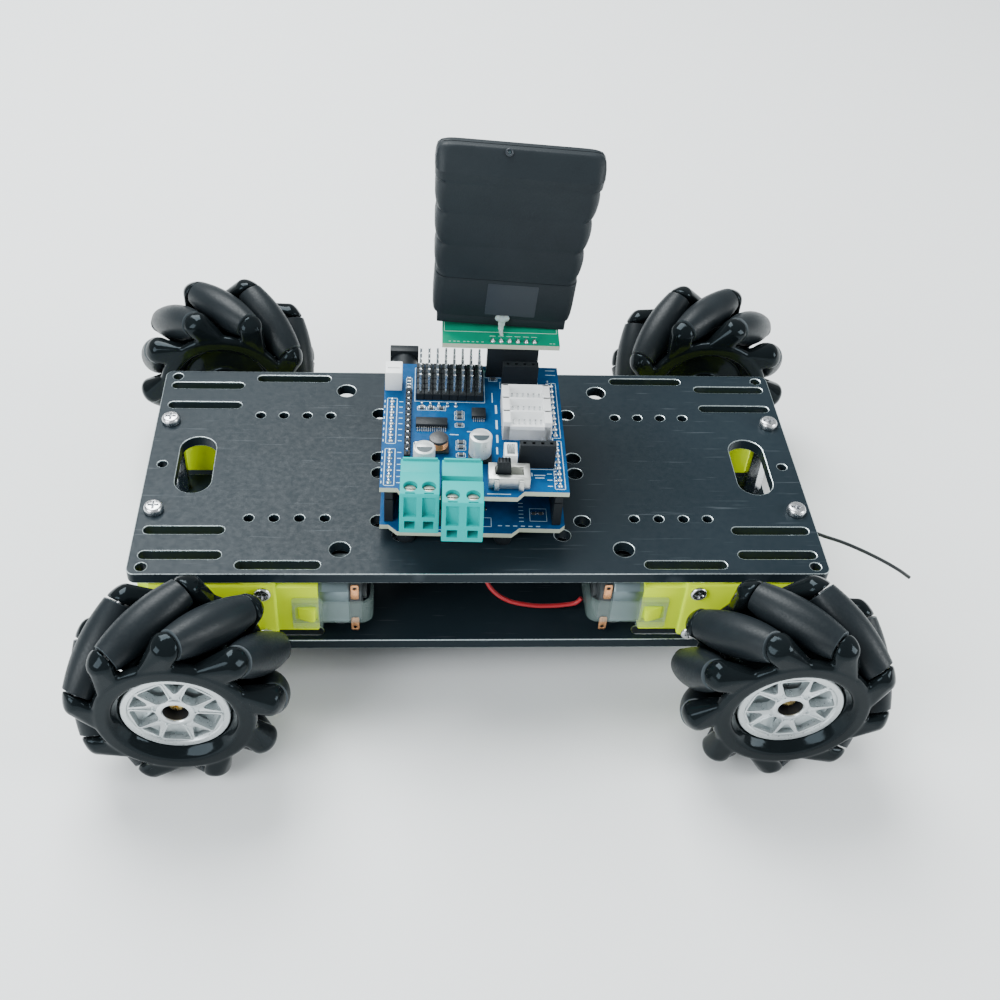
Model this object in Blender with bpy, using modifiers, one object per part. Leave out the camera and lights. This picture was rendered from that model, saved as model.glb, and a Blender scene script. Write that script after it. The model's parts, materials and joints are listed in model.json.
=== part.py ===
"""Four wheel robot chassis: two slotted plates, four gear motors, mecanum wheels and open electronics.

+X is the front, +Y the left side and +Z is up. The origin is on the floor, under the middle of the
plates. Dimensions are in millimetres, and become metres where a shape's points are made.
"""

import math

import bmesh
import bpy
from mathutils import Matrix, Vector

MM = 0.001
GAP = 0.3

# Chassis plates, both with the same holes
PLATE_LENGTH = 200.0
PLATE_WIDTH = 91.0
PLATE_THICK = 3.7
PLATE_CORNER = 2.5
BAY_HEIGHT = 25.0
AXLE_Z = 30.0
BOTTOM_TOP = AXLE_Z - BAY_HEIGHT / 2
BOTTOM_LOW = BOTTOM_TOP - PLATE_THICK
TOP_LOW = AXLE_Z + BAY_HEIGHT / 2
TOP_TOP = TOP_LOW + PLATE_THICK
CORNER_HOLE = (96.0, 42.6, 1.6)
STANDOFF_AT = (95.4, 20.0)
SCREW_HOLE = 1.6
BIG_HOLE = (41.0, 35.8, 3.0)
FOOT_HOLES_X = (45.7, 53.1, 60.5, 67.8)
FOOT_HOLES_Y = 23.2
FOOT_HOLE = 1.5
LONG_SLOTS_X = (74.2, 97.4)
LONG_SLOTS_Y = (28.1, 38.0)
EDGE_SLOT_X = (46.2, 70.2)
EDGE_SLOT_Y = 41.9
SLOT_HALF = 1.6
CABLE_HOLE_X = 85.6
CABLE_HOLE_RADIUS = 5.45
CABLE_HOLE_HALF_RUN = 7.15
END_HOLE = (95.6, 1.5)
BOARD_HOLES = ((30.0, 24.3), (30.0, 3.5), (23.6, 30.0))
BOARD_HOLE = 2.4
LEAD_HOLE = (-6.0, -23.0, 3.0)

# Standoffs
STANDOFF_RADIUS = 5.5 / math.sqrt(3)
STANDOFF_SCREW = 1.25
SCREW_HEAD = (2.9, 1.9)

# Wheels
AXLE_X = 83.5
WHEEL_Y = 69.5
WHEEL_RADIUS = 30.066
ROLLER_COUNT = 9
ROLLER_AXIS_RADIUS = 24.0
ROLLER_HALF = 13.0
ROLLER_BORE = 1.8
ROLLER_BANDS = 4
ROLLER_SIDES = 8
PIN_RADIUS = 1.35
LOBE_START = (ROLLER_HALF + 0.4, 3.9)
LOBE_END = (ROLLER_HALF + 5.4, 2.2)
LOBE_SIDES = 5
WHEEL_STEPS = 15
DISC_RADIUS = 19.5
DISC_INNER = 10.5
DISC_OUTER = 14.2
DRUM_RADIUS = 15.3
CAP_RADIUS = 14.6
CAP_FACE = 11.2
BOSS_RADIUS = 6.0
BOSS_END = -22.7
SHAFT_RADIUS = 2.6
SHAFT_END = -35.0
# The turn of each wheel at rest: where one of its rollers stands round the axle, in degrees
WHEELS = {
    "rear_right": (-1, -1, 26.2),
    "front_right": (1, -1, 12.2),
    "rear_left": (-1, 1, 10.5),
    "front_left": (1, 1, 11.2),
}

# Gear motors, for the front left corner; the others are mirrored
GEARBOX = ((59.0, 26.5, 18.8), (94.8, 45.2, 41.2))
GEARBOX_NECK = ((47.2, 27.3, 20.8), (59.2, 44.4, 39.2))
EAR = ((94.6, 34.4, 25.5), (99.6, 37.4, 34.5))
EAR_HOLE_X = 97.3
MOTOR_Y = 35.85
CAN_X = (38.3, 47.4)
CAN_RADIUS = 10.05
CAN_FLAT = 7.55
STRAP = ((31.4, MOTOR_Y - 8.35, 24.6), (47.4, MOTOR_Y + 8.35, 33.0))
CLIP = ((46.0, 44.0, 22.9), (54.8, 45.3, 35.3))
CLIP_NUB = ((47.6, 45.1, 26.6), (53.6, 46.6, 31.6))
END_CAP_X = (34.6, 38.5)
END_CAP_SCALE = 0.92
TERMINAL_X = (35.6, 37.9)
TERMINAL_Y = (42.4, 43.1)
TERMINAL_SPANS = ((19.1, 24.8), (32.8, 38.9))
GEARBOX_SCREW_X = 62.7
GEARBOX_SCREW_DZ = 8.75
BRACKET_LEG = ((42.0, 24.9, BOTTOM_TOP + GAP), (71.0, 26.7, 41.8))
BRACKET_FOOT = ((42.0, 19.4, BOTTOM_TOP + GAP), (71.0, 25.1, BOTTOM_TOP + GAP + 1.5))
MOTOR_BORE = 3.0
MOTOR_BORE_FLOOR = 33.0

# Electronics, on an empty whose X runs across the board and Y away from its front edge
STACK_AT = (-29.76, -33.38)
STACK_TURN = -0.028
BOARD_THICK = 1.6
CONTROLLER_TOP = 51.2
CONTROLLER_LENGTH = 68.58
CONTROLLER_WIDTH = 53.34
SHIELD_TOP = 65.6
PIN_PITCH = 2.54
SOCKET_HEIGHT = 8.5
PIN_HALF = 0.32
SOCKET_SLOT_HALF = 0.8
# Pin rows: distance across, first pin's distance from the front, number of pins
PIN_ROWS = ((2.54, 5.08, 6), (2.54, 22.86, 8), (50.8, 5.08, 8), (50.8, 26.92, 10))
SPACERS = ((50.8, 53.34), (2.54, 54.61), (7.62, 2.54), (35.56, 2.54))
ADAPTER_HEADER = ((30.9, 53.5), (46.5, 56.1))
ADAPTER_HEADER_TOP = SHIELD_TOP + 10.9
ADAPTER_LOW = ADAPTER_HEADER_TOP + 0.1 + GAP / 2
ADAPTER_OUTLINE = ((17.1, 53.2), (52.7, 74.5))
SWITCH_BODY = ((30.4, 3.2), (42.1, 10.0))
SWITCH_HEIGHT = 4.0
SWITCH_SLOT = ((32.2, 4.9), (40.3, 8.3))
KNOB = ((32.5, 5.2), (36.8, 8.0))
KNOB_TOP = SHIELD_TOP + 8.0
RESET_AT = (49.0, 62.5)
RECEIVER_TILT = math.radians(3.0)
RECEIVER_AT = (34.8, 67.2, 79.6)

robot = bpy.data.collections.new("four_wheel_robot_chassis")


# Shapes

def solid(bm, name="shape"):
    """Turn a bmesh drawn in millimetres into an object in metres."""
    bmesh.ops.recalc_face_normals(bm, faces=bm.faces)
    bmesh.ops.scale(bm, vec=(MM, MM, MM), verts=bm.verts)
    mesh = bpy.data.meshes.new(name)
    bm.to_mesh(mesh)
    bm.free()
    piece = bpy.data.objects.new(name, mesh)
    robot.objects.link(piece)
    return piece


def box(low, high):
    low = Vector(low)
    high = Vector(high)
    bm = bmesh.new()
    place = Matrix.LocRotScale((low + high) / 2, None, high - low)
    bmesh.ops.create_cube(bm, size=1.0, matrix=place)
    return solid(bm)


def rod(start, end, radius, end_radius=None, sides=10):
    """A round or tapered bar between two points."""
    start = Vector(start)
    end = Vector(end)
    bm = bmesh.new()
    bmesh.ops.create_cone(
        bm,
        cap_ends=True,
        segments=sides,
        radius1=radius,
        radius2=radius if end_radius is None else end_radius,
        depth=(end - start).length,
        matrix=Matrix.LocRotScale((start + end) / 2, (end - start).to_track_quat("Z", "Y"), None),
    )
    return solid(bm)


def hull(points):
    """The convex shape round some points."""
    bm = bmesh.new()
    for point in points:
        bm.verts.new(point)
    found = bmesh.ops.convex_hull(bm, input=bm.verts)
    loose = set(found["geom_interior"]) | set(found["geom_unused"])
    bmesh.ops.delete(bm, geom=[item for item in loose if isinstance(item, bmesh.types.BMVert)])
    return solid(bm)


def meshed(curve_object):
    """Swap a curve for a mesh with its caps welded."""
    bpy.context.view_layer.update()
    graph = bpy.context.evaluated_depsgraph_get()
    mesh = bpy.data.meshes.new_from_object(curve_object.evaluated_get(graph))
    bm = bmesh.new()
    bm.from_mesh(mesh)
    bmesh.ops.remove_doubles(bm, verts=bm.verts, dist=0.00001)
    bmesh.ops.recalc_face_normals(bm, faces=bm.faces)
    bm.to_mesh(mesh)
    bm.free()
    name = curve_object.name
    place = curve_object.matrix_world.copy()
    bpy.data.objects.remove(curve_object)
    piece = bpy.data.objects.new(name, mesh)
    piece.matrix_world = place
    robot.objects.link(piece)
    return piece


def prism(outline, low, high, holes=()):
    """A flat outline with holes through it, between two heights."""
    curve = bpy.data.curves.new("outline", "CURVE")
    curve.dimensions = "2D"
    curve.fill_mode = "BOTH"
    curve.extrude = (high - low) / 2 * MM
    for loop in (outline, *holes):
        spline = curve.splines.new("POLY")
        spline.points.add(len(loop) - 1)
        spline.use_cyclic_u = True
        for point, (x, y) in zip(spline.points, loop):
            point.co = (x * MM, y * MM, 0.0, 1.0)
    piece = bpy.data.objects.new("outline", curve)
    piece.location = (0.0, 0.0, (low + high) / 2 * MM)
    robot.objects.link(piece)
    piece = meshed(piece)
    piece.data.transform(piece.matrix_world)
    piece.matrix_world = Matrix.Identity(4)
    return piece


def combine(name, pieces, operation="UNION"):
    """Join the pieces to the first of them, or cut them from it."""
    whole = pieces[0]
    for piece in pieces[1:]:
        step = whole.modifiers.new("step", "BOOLEAN")
        step.operation = operation
        step.object = piece
        bpy.context.view_layer.update()
        graph = bpy.context.evaluated_depsgraph_get()
        mesh = bpy.data.meshes.new_from_object(whole.evaluated_get(graph))
        whole.modifiers.clear()
        whole.data = mesh
        bpy.data.objects.remove(piece)
    whole.name = name
    return whole


def merged(pieces):
    """Pieces that don't touch each other, as one object to join or cut with."""
    bm = bmesh.new()
    for piece in pieces:
        bm.from_mesh(piece.data)
        bpy.data.objects.remove(piece)
    bmesh.ops.scale(bm, vec=(1 / MM, 1 / MM, 1 / MM), verts=bm.verts)
    return solid(bm)


def mirrored(piece, name, side_x, side_y):
    """A copy of a front left piece for another corner."""
    bm = bmesh.new()
    bm.from_mesh(piece.data)
    bmesh.ops.scale(bm, vec=(side_x, side_y, 1.0), verts=bm.verts)
    bmesh.ops.scale(bm, vec=(1 / MM, 1 / MM, 1 / MM), verts=bm.verts)
    return solid(bm, name)


def arc(centre, radius, start, end, steps):
    """Points round part of a circle, in degrees."""
    turns = [math.radians(start + (end - start) * step / steps) for step in range(steps + 1)]
    return [(centre[0] + radius * math.cos(turn), centre[1] + radius * math.sin(turn)) for turn in turns]


def round_hole(x, y, radius, sides=8):
    """A polygon that a circle of the radius just fits in."""
    reach = radius / math.cos(math.pi / sides)
    return arc((x, y), reach, 180 / sides, 540 - 180 / sides, sides)[:-1]


def slot_hole(low, high, half, steps=3):
    """A slot with round ends, along X or Y, between two end points of its edge."""
    start = Vector(low)
    end = Vector(high)
    along = math.degrees(math.atan2(end.y - start.y, end.x - start.x))
    inset = (end - start).normalized() * half
    return arc(end - inset, half, along - 90, along + 90, steps) + arc(
        start + inset, half, along + 90, along + 270, steps
    )


def rounded_rectangle(half_length, half_width, corner, steps=2):
    x = half_length - corner
    y = half_width - corner
    return (
        arc((x, y), corner, 0, 90, steps)
        + arc((-x, y), corner, 90, 180, steps)
        + arc((-x, -y), corner, 180, 270, steps)
        + arc((x, -y), corner, 270, 360, steps)
    )


def finish(piece, colour, roughness, metallic=0.0):
    """Give a piece its colour and smooth shading."""
    material = bpy.data.materials.new(piece.name)
    material.use_nodes = True
    shader = material.node_tree.nodes["Principled BSDF"]
    shader.inputs["Base Color"].default_value = (*colour, 1.0)
    shader.inputs["Roughness"].default_value = roughness
    shader.inputs["Metallic"].default_value = metallic
    piece.data.materials.clear()
    piece.data.materials.append(material)
    piece.data.shade_smooth()
    piece.data.set_sharp_from_angle(angle=math.radians(35))
    return piece


BLACK_METAL = ((0.02, 0.028, 0.035), 0.35, 0.6)
SILVER = ((0.75, 0.76, 0.78), 0.3, 1.0)
GEARBOX_YELLOW = ((0.78, 0.82, 0.04), 0.4)
CHARCOAL = ((0.04, 0.045, 0.05), 0.6)
GLOSS_BLACK = ((0.012, 0.013, 0.015), 0.15)
BOARD_BLUE = ((0.01, 0.11, 0.33), 0.4)
BOARD_GREEN = ((0.0, 0.38, 0.22), 0.35)
TURQUOISE = ((0.0, 0.5, 0.5), 0.45)


# Plates and standoffs

def plate_holes():
    """The holes that both plates have, the same at each corner."""
    holes = []
    for side_x in (-1, 1):
        for side_y in (-1, 1):
            for x, y, radius in (CORNER_HOLE, BIG_HOLE, (*STANDOFF_AT, SCREW_HOLE)):
                holes.append(round_hole(side_x * x, side_y * y, radius))
            for x in FOOT_HOLES_X:
                holes.append(round_hole(side_x * x, side_y * FOOT_HOLES_Y, FOOT_HOLE, 6))
            slots = [(LONG_SLOTS_X, y) for y in LONG_SLOTS_Y] + [(EDGE_SLOT_X, EDGE_SLOT_Y)]
            for (low, high), y in slots:
                holes.append(slot_hole((side_x * low, side_y * y), (side_x * high, side_y * y), SLOT_HALF))
        run = CABLE_HOLE_HALF_RUN + CABLE_HOLE_RADIUS
        ends = ((side_x * CABLE_HOLE_X, -run), (side_x * CABLE_HOLE_X, run))
        holes.append(slot_hole(*ends, CABLE_HOLE_RADIUS, 5))
        holes.append(round_hole(side_x * END_HOLE[0], 0.0, END_HOLE[1]))
    return holes


def make_plates():
    outline = rounded_rectangle(PLATE_LENGTH / 2, PLATE_WIDTH / 2, PLATE_CORNER)
    board_holes = []
    for side_x in (-1, 1):
        for x, y in BOARD_HOLES:
            for side_y in (-1, 1):
                board_holes.append(round_hole(side_x * x, side_y * y, BOARD_HOLE))
    lead_hole = [round_hole(*LEAD_HOLE)]
    bottom = prism(outline, BOTTOM_LOW, BOTTOM_TOP, plate_holes())
    top = prism(outline, TOP_LOW, TOP_TOP, plate_holes() + board_holes + lead_hole)
    for piece, name in ((bottom, "bottom_plate"), (top, "top_plate")):
        piece.name = name
        finish(piece, *BLACK_METAL)


def make_standoffs():
    head_radius, head_height = SCREW_HEAD
    for side_x, end in ((-1, "rear"), (1, "front")):
        for side_y, side in ((-1, "right"), (1, "left")):
            x = side_x * STANDOFF_AT[0]
            y = side_y * STANDOFF_AT[1]
            column = rod((x, y, BOTTOM_TOP + GAP), (x, y, TOP_LOW - GAP), STANDOFF_RADIUS, sides=6)
            screw = rod((x, y, BOTTOM_LOW + GAP), (x, y, TOP_TOP + 1.0), STANDOFF_SCREW, sides=6)
            head_z = TOP_TOP + GAP
            head = rod((x, y, head_z), (x, y, head_z + head_height), head_radius, head_radius - 0.6, 8)
            finish(combine(f"standoff_{end}_{side}", [column, screw, head]), *SILVER)


# Gear motors

def make_gearmotor():
    """The front left motor: gearbox, can, strap, its bracket and their screws."""
    can_outline = [
        (y, z)
        for y, z in arc((0.0, 0.0), CAN_RADIUS, 0, 360, 20)[:-1]
        if abs(y) < CAN_FLAT
    ]
    corner = math.sqrt(CAN_RADIUS**2 - CAN_FLAT**2)
    can_outline += [(sy * CAN_FLAT, sz * corner) for sy in (-1, 1) for sz in (-1, 1)]
    can, cap = (
        hull((x, MOTOR_Y + y * scale, AXLE_Z + z * scale) for x in ends for y, z in can_outline)
        for ends, scale in ((CAN_X, 1.0), (END_CAP_X, END_CAP_SCALE))
    )
    pieces = [box(*GEARBOX), box(*GEARBOX_NECK), box(*EAR), can, cap, box(*STRAP), box(*CLIP), box(*CLIP_NUB)]
    for low, high in TERMINAL_SPANS:
        pieces.append(box((TERMINAL_X[0], TERMINAL_Y[0], low), (TERMINAL_X[1], TERMINAL_Y[1], high)))
    for side in (-1, 1):
        z = AXLE_Z + side * GEARBOX_SCREW_DZ
        pieces.append(rod((GEARBOX_SCREW_X, 44.0, z), (GEARBOX_SCREW_X, 46.8, z), 2.6, 2.1, 8))
        pieces.append(rod((GEARBOX_SCREW_X, 22.8, z), (GEARBOX_SCREW_X, 25.2, z), 2.9, sides=6))
    pieces += [box(*BRACKET_LEG), box(*BRACKET_FOOT)]
    foot_top = BRACKET_FOOT[1][2]
    for x in (FOOT_HOLES_X[0], FOOT_HOLES_X[-1]):
        pieces.append(rod((x, 23.0, BOTTOM_LOW + GAP), (x, 23.0, foot_top), 1.0, sides=6))
        pieces.append(rod((x, 23.0, foot_top - 0.2), (x, 23.0, foot_top + 2.0), 1.75, sides=6))
    motor = combine("gearmotor", pieces)
    bores = [
        rod((AXLE_X, MOTOR_BORE_FLOOR, AXLE_Z), (AXLE_X, 50.0, AXLE_Z), MOTOR_BORE, sides=16),
        rod((EAR_HOLE_X, 30.0, AXLE_Z), (EAR_HOLE_X, 40.0, AXLE_Z), 1.5, sides=8),
    ]
    return combine("gearmotor", [motor, *bores], "DIFFERENCE")


def make_gearmotors():
    pattern = make_gearmotor()
    for name, (side_x, side_y, _) in WHEELS.items():
        finish(mirrored(pattern, f"gearmotor_{name}", side_x, side_y), *GEARBOX_YELLOW)
    bpy.data.objects.remove(pattern)


# Wheels, in a frame at the wheel's centre

def roller_radius(along):
    """A roller is as thick, at a distance from its middle, as the wheel's round outline needs."""
    return WHEEL_RADIUS - math.sqrt(ROLLER_AXIS_RADIUS**2 + along**2 / 2)


def turned(profile, steps):
    """A profile of (radius, height) points turned round Z, down its outer side."""
    bm = bmesh.new()
    points = [bm.verts.new((radius, 0.0, height)) for radius, height in profile]
    for first, second in zip(points, points[1:]):
        bm.edges.new((first, second))
    piece = solid(bm)
    screw = piece.modifiers.new("turn", "SCREW")
    screw.steps = steps
    screw.render_steps = steps
    screw.use_merge_vertices = True
    screw.merge_threshold = 0.00001
    screw.use_smooth_shade = False
    bpy.context.view_layer.update()
    graph = bpy.context.evaluated_depsgraph_get()
    mesh = bpy.data.meshes.new_from_object(piece.evaluated_get(graph))
    piece.modifiers.clear()
    piece.data = mesh
    return piece


def make_roller_mesh():
    """A barrel along Z with a bore for its pin."""
    heights = [ROLLER_HALF * (1 - 2 * band / ROLLER_BANDS) for band in range(ROLLER_BANDS + 1)]
    outer = [(roller_radius(height), height) for height in heights]
    profile = [*outer, (ROLLER_BORE, -ROLLER_HALF), (ROLLER_BORE, ROLLER_HALF), outer[0]]
    pattern = turned(profile, ROLLER_SIDES)
    mesh = pattern.data
    bpy.data.objects.remove(pattern)
    return mesh


def roller_frame(side_x, side_y, number):
    """Middle, axis and outward direction of one roller, in its wheel's frame."""
    turn = math.radians(360 / ROLLER_COUNT * number) + (math.pi if side_x < 0 else 0.0)
    outward = Vector((math.cos(turn), 0.0, math.sin(turn)))
    along_rim = Vector((-math.sin(turn), 0.0, math.cos(turn)))
    axis = (Vector((0.0, side_y, 0.0)) - side_x * along_rim).normalized()
    return ROLLER_AXIS_RADIUS * outward, axis, outward


def lobe(middle, axis, outward, side_x, side_y, end):
    """The finger of the wheel's disc that holds one end of a roller's pin."""
    across = axis.cross(outward)
    points = []
    for along, radius in (LOBE_START, LOBE_END):
        for step in range(LOBE_SIDES):
            turn = math.radians(360 / LOBE_SIDES * step)
            rim = outward * math.cos(turn) + across * math.sin(turn)
            points.append(middle + axis * end * along + rim * radius)
    root = math.atan2(outward.z, outward.x) - side_x * end * math.radians(35)
    for spread in (-5, 5):
        turn = root + math.radians(spread)
        for y in (DISC_INNER + 0.4, DISC_OUTER - 0.3):
            points.append(Vector((17.0 * math.cos(turn), side_y * end * y, 17.0 * math.sin(turn))))
    return hull(points)


def make_wheel_frame(name, side_x, side_y):
    profile = [
        (0.0, CAP_FACE - 3.5),
        (3.4, CAP_FACE - 3.5),
        (3.4, CAP_FACE),
        (CAP_RADIUS, CAP_FACE),
        (CAP_RADIUS + 2.6, DISC_OUTER),
        (DISC_RADIUS, DISC_OUTER),
        (DISC_RADIUS, DISC_INNER),
        (DRUM_RADIUS, DISC_INNER - 1.2),
        (DRUM_RADIUS, 1.2 - DISC_INNER),
        (DISC_RADIUS, -DISC_INNER),
        (DISC_RADIUS, -DISC_OUTER),
        (BOSS_RADIUS, -DISC_OUTER),
        (BOSS_RADIUS, BOSS_END),
        (SHAFT_RADIUS, BOSS_END),
        (SHAFT_RADIUS, SHAFT_END),
        (0.0, SHAFT_END),
    ]
    drum = turned(profile, WHEEL_STEPS)
    drum.data.transform(Matrix.Rotation(math.radians(-90 * side_y), 4, "X"))
    lobes = []
    pins = []
    for number in range(ROLLER_COUNT):
        middle, axis, outward = roller_frame(side_x, side_y, number)
        lobes += [lobe(middle, axis, outward, side_x, side_y, end) for end in (-1, 1)]
        reach = axis * (LOBE_START[0] + 1.0)
        pins.append(rod(middle - reach, middle + reach, PIN_RADIUS, sides=6))
    return combine(name, [drum, merged(lobes), merged(pins)])


def make_wheels():
    roller_mesh = make_roller_mesh()
    for corner, (side_x, side_y, roller_at) in WHEELS.items():
        frame = finish(make_wheel_frame(f"wheel_frame_{corner}", side_x, side_y), *GLOSS_BLACK)
        frame.location = (side_x * AXLE_X * MM, side_y * WHEEL_Y * MM, AXLE_Z * MM)
        first_at = 0 if side_x > 0 else 180
        frame.rotation_euler = (0.0, -math.radians(roller_at - first_at), 0.0)
        for number in range(ROLLER_COUNT):
            middle, axis, outward = roller_frame(side_x, side_y, number)
            roller = bpy.data.objects.new(f"roller_{corner}_{number + 1}", roller_mesh)
            robot.objects.link(roller)
            roller.parent = frame
            roller.location = middle * MM
            turn = Matrix((outward, axis.cross(outward), axis)).transposed()
            roller.rotation_euler = turn.to_euler()
    finish(robot.objects["roller_front_left_1"], *CHARCOAL)


# Electronics, in the empty's frame

def make_controller(stack):
    low = CONTROLLER_TOP - BOARD_THICK
    length = CONTROLLER_LENGTH
    outline = [
        (0.0, length),
        (0.0, 2.54),
        (2.54, 2.54),
        (5.08, 0.0),
        (37.85, 0.0),
        (40.15, 2.3),
        (51.82, 2.3),
        (CONTROLLER_WIDTH, 3.82),
        (CONTROLLER_WIDTH, length),
    ]
    pieces = [prism(outline, low, CONTROLLER_TOP)]
    slots = []
    sunk = CONTROLLER_TOP - 0.2
    socket_top = CONTROLLER_TOP + SOCKET_HEIGHT
    for x, first, count in PIN_ROWS:
        front = first - PIN_PITCH / 2
        back = front + count * PIN_PITCH
        pieces.append(box((x - 1.27, front, sunk), (x + 1.27, back - 0.1, socket_top)))
        slot_ends = ((x - SOCKET_SLOT_HALF, front + 0.4), (x + SOCKET_SLOT_HALF, back - 0.5))
        slots.append(box((*slot_ends[0], CONTROLLER_TOP + 1.0), (*slot_ends[1], socket_top + 1.0)))
    pieces.append(box((1.0, 57.0, sunk), (10.0, 72.4, CONTROLLER_TOP + 11.6)))
    slots.append(rod((5.5, 60.0, CONTROLLER_TOP + 6.5), (5.5, 73.5, CONTROLLER_TOP + 6.5), 3.15, sides=12))
    pieces.append(box((32.0, 58.6, sunk), (44.0, 74.8, CONTROLLER_TOP + 10.9)))
    slots.append(box((33.8, 66.0, CONTROLLER_TOP + 1.6), (42.2, 75.5, CONTROLLER_TOP + 9.3)))
    pieces.append(box((11.0, 1.8, sunk), (18.4, 36.6, CONTROLLER_TOP + 7.5)))
    pieces.append(rod((17.0, 62.5, sunk), (17.0, 62.5, CONTROLLER_TOP + 5.4), 3.2, sides=10))
    pieces.append(rod((25.0, 62.5, sunk), (25.0, 62.5, CONTROLLER_TOP + 5.4), 3.2, sides=10))
    x, y = RESET_AT
    pieces.append(box((x - 3.0, y - 3.0, sunk), (x + 3.0, y + 3.0, CONTROLLER_TOP + 3.4)))
    slots.append(rod((x, y, CONTROLLER_TOP + 1.5), (x, y, CONTROLLER_TOP + 4.0), 2.05, sides=10))
    for x, y in SPACERS:
        pieces.append(rod((x, y, TOP_TOP + GAP), (x, y, low + 0.2), 2.6, sides=8))
    board = combine("controller_board", pieces)
    board = combine("controller_board", [board, *slots], "DIFFERENCE")
    jack_pin = rod((5.5, 59.5, CONTROLLER_TOP + 6.5), (5.5, 70.5, CONTROLLER_TOP + 6.5), 1.0, sides=6)
    tongue = box((35.2, 65.0, CONTROLLER_TOP + 4.2), (40.8, 74.0, CONTROLLER_TOP + 7.4))
    board = combine("controller_board", [board, jack_pin, tongue])
    board.parent = stack
    finish(board, *BOARD_BLUE)
    x, y = RESET_AT
    plunger = rod((x, y, CONTROLLER_TOP + 1.9), (x, y, CONTROLLER_TOP + 4.6), 1.7, sides=10)
    plunger.name = "reset_button"
    plunger.data.transform(Matrix.Translation((-x * MM, -y * MM, -(CONTROLLER_TOP + 1.9) * MM)))
    plunger.location = (x * MM, y * MM, (CONTROLLER_TOP + 1.9) * MM)
    plunger.parent = stack
    finish(plunger, *GLOSS_BLACK)


def on_shield(low, high, height):
    """A block that stands on the shield."""
    return box((*low, SHIELD_TOP - 0.2), (*high, SHIELD_TOP + height))


def open_connector(low, high, height, wall=1.1):
    """A connector body that is open at the top."""
    cavity_low = (low[0] + wall, low[1] + wall, SHIELD_TOP + 1.5)
    cavity_high = (high[0] - wall, high[1] - wall, SHIELD_TOP + height + 1.0)
    return combine("connector", [on_shield(low, high, height), box(cavity_low, cavity_high)], "DIFFERENCE")


def make_shield(stack):
    low = SHIELD_TOP - BOARD_THICK
    outline = [(0.0, 2.7), (5.0, 2.7), (5.0, 0.0), (40.0, 0.0), (40.0, 2.4), (53.3, 2.4), (53.3, 59.0), (0.0, 59.0)]
    pieces = [prism(outline, low, SHIELD_TOP)]
    pins = []
    for x, first, count in PIN_ROWS:
        front = first - PIN_PITCH / 2 + 0.1
        back = front + count * PIN_PITCH - 0.3
        base_low = CONTROLLER_TOP + SOCKET_HEIGHT + GAP
        pieces.append(box((x - 1.2, front, base_low), (x + 1.2, back, low + 0.2)))
        for number in range(count):
            y = first + number * PIN_PITCH
            start = (x - PIN_HALF, y - PIN_HALF, base_low - 5.5)
            pins.append(box(start, (x + PIN_HALF, y + PIN_HALF, base_low + 0.5)))
    pieces.append(merged(pins))
    # Servo header: a black base and six rows of pins
    pieces.append(on_shield((9.5, 41.4), (29.9, 56.7), 2.5))
    servo_pins = []
    for column in range(8):
        for row in range(6):
            x = 10.8 + column * PIN_PITCH
            y = 42.67 + row * PIN_PITCH
            low_corner = (x - PIN_HALF, y - PIN_HALF, SHIELD_TOP + 2.0)
            servo_pins.append(box(low_corner, (x + PIN_HALF, y + PIN_HALF, SHIELD_TOP + 9.1)))
    pieces.append(merged(servo_pins))
    # Chips, coil and capacitors
    pieces.append(on_shield((9.5, 27.5), (19.2, 32.1), 1.8))
    pieces.append(on_shield((26.0, 32.0), (30.5, 37.5), 1.6))
    pieces.append(on_shield((13.7, 17.4), (19.2, 22.7), 4.0))
    pieces.append(rod((12.3, 13.5, SHIELD_TOP - 0.2), (12.3, 13.5, SHIELD_TOP + 6.0), 3.15, sides=12))
    pieces.append(rod((28.3, 16.8, SHIELD_TOP - 0.2), (28.3, 16.8, SHIELD_TOP + 8.0), 3.25, sides=12))
    # Sockets and connectors
    pieces.append(open_connector((0.6, 45.6), (5.7, 51.5), 6.8))
    (x_low, y_low), (x_high, y_high) = ADAPTER_HEADER
    socket = box((x_low, y_low, SHIELD_TOP - 0.2), (x_high, y_high, ADAPTER_HEADER_TOP))
    slot_low = (x_low + 0.6, y_low + 0.55, SHIELD_TOP + 3.0)
    slot_high = (x_high - 0.6, y_high - 0.55, ADAPTER_HEADER_TOP + 1.0)
    pieces.append(combine("socket", [socket, box(slot_low, slot_high)], "DIFFERENCE"))
    pieces.append(on_shield((35.5, 48.3), (46.4, 50.8), 8.5))
    for front, back in ((24.2, 29.7), (30.2, 35.7), (36.2, 41.7)):
        pieces.append(open_connector((35.0, front), (49.2, back), 7.0))
    pieces.append(on_shield((39.2, 12.2), (49.5, 14.8), 8.5))
    pieces.append(on_shield((35.0, 11.2), (38.7, 17.0), 5.5))
    # Terminal headers at the front edge, with the pins that the plugs go on
    for left, right in ((5.9, 16.5), (17.2, 28.3)):
        pieces.append(box((left, -2.6, low + 0.2), (right, 4.0, SHIELD_TOP + 10.0)))
        for x in (left + 2.8, right - 2.8):
            z = SHIELD_TOP + 3.6
            pieces.append(rod((x, -8.0, z), (x, -2.0, z), 0.55, sides=6))
    # Slide switch
    body = on_shield(*SWITCH_BODY, SWITCH_HEIGHT)
    slot = box((*SWITCH_SLOT[0], SHIELD_TOP + 1.2), (*SWITCH_SLOT[1], SHIELD_TOP + SWITCH_HEIGHT + 1.0))
    pieces.append(combine("switch", [body, slot], "DIFFERENCE"))
    shield = combine("driver_shield", pieces)
    shield.parent = stack
    finish(shield, *BOARD_BLUE)


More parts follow.
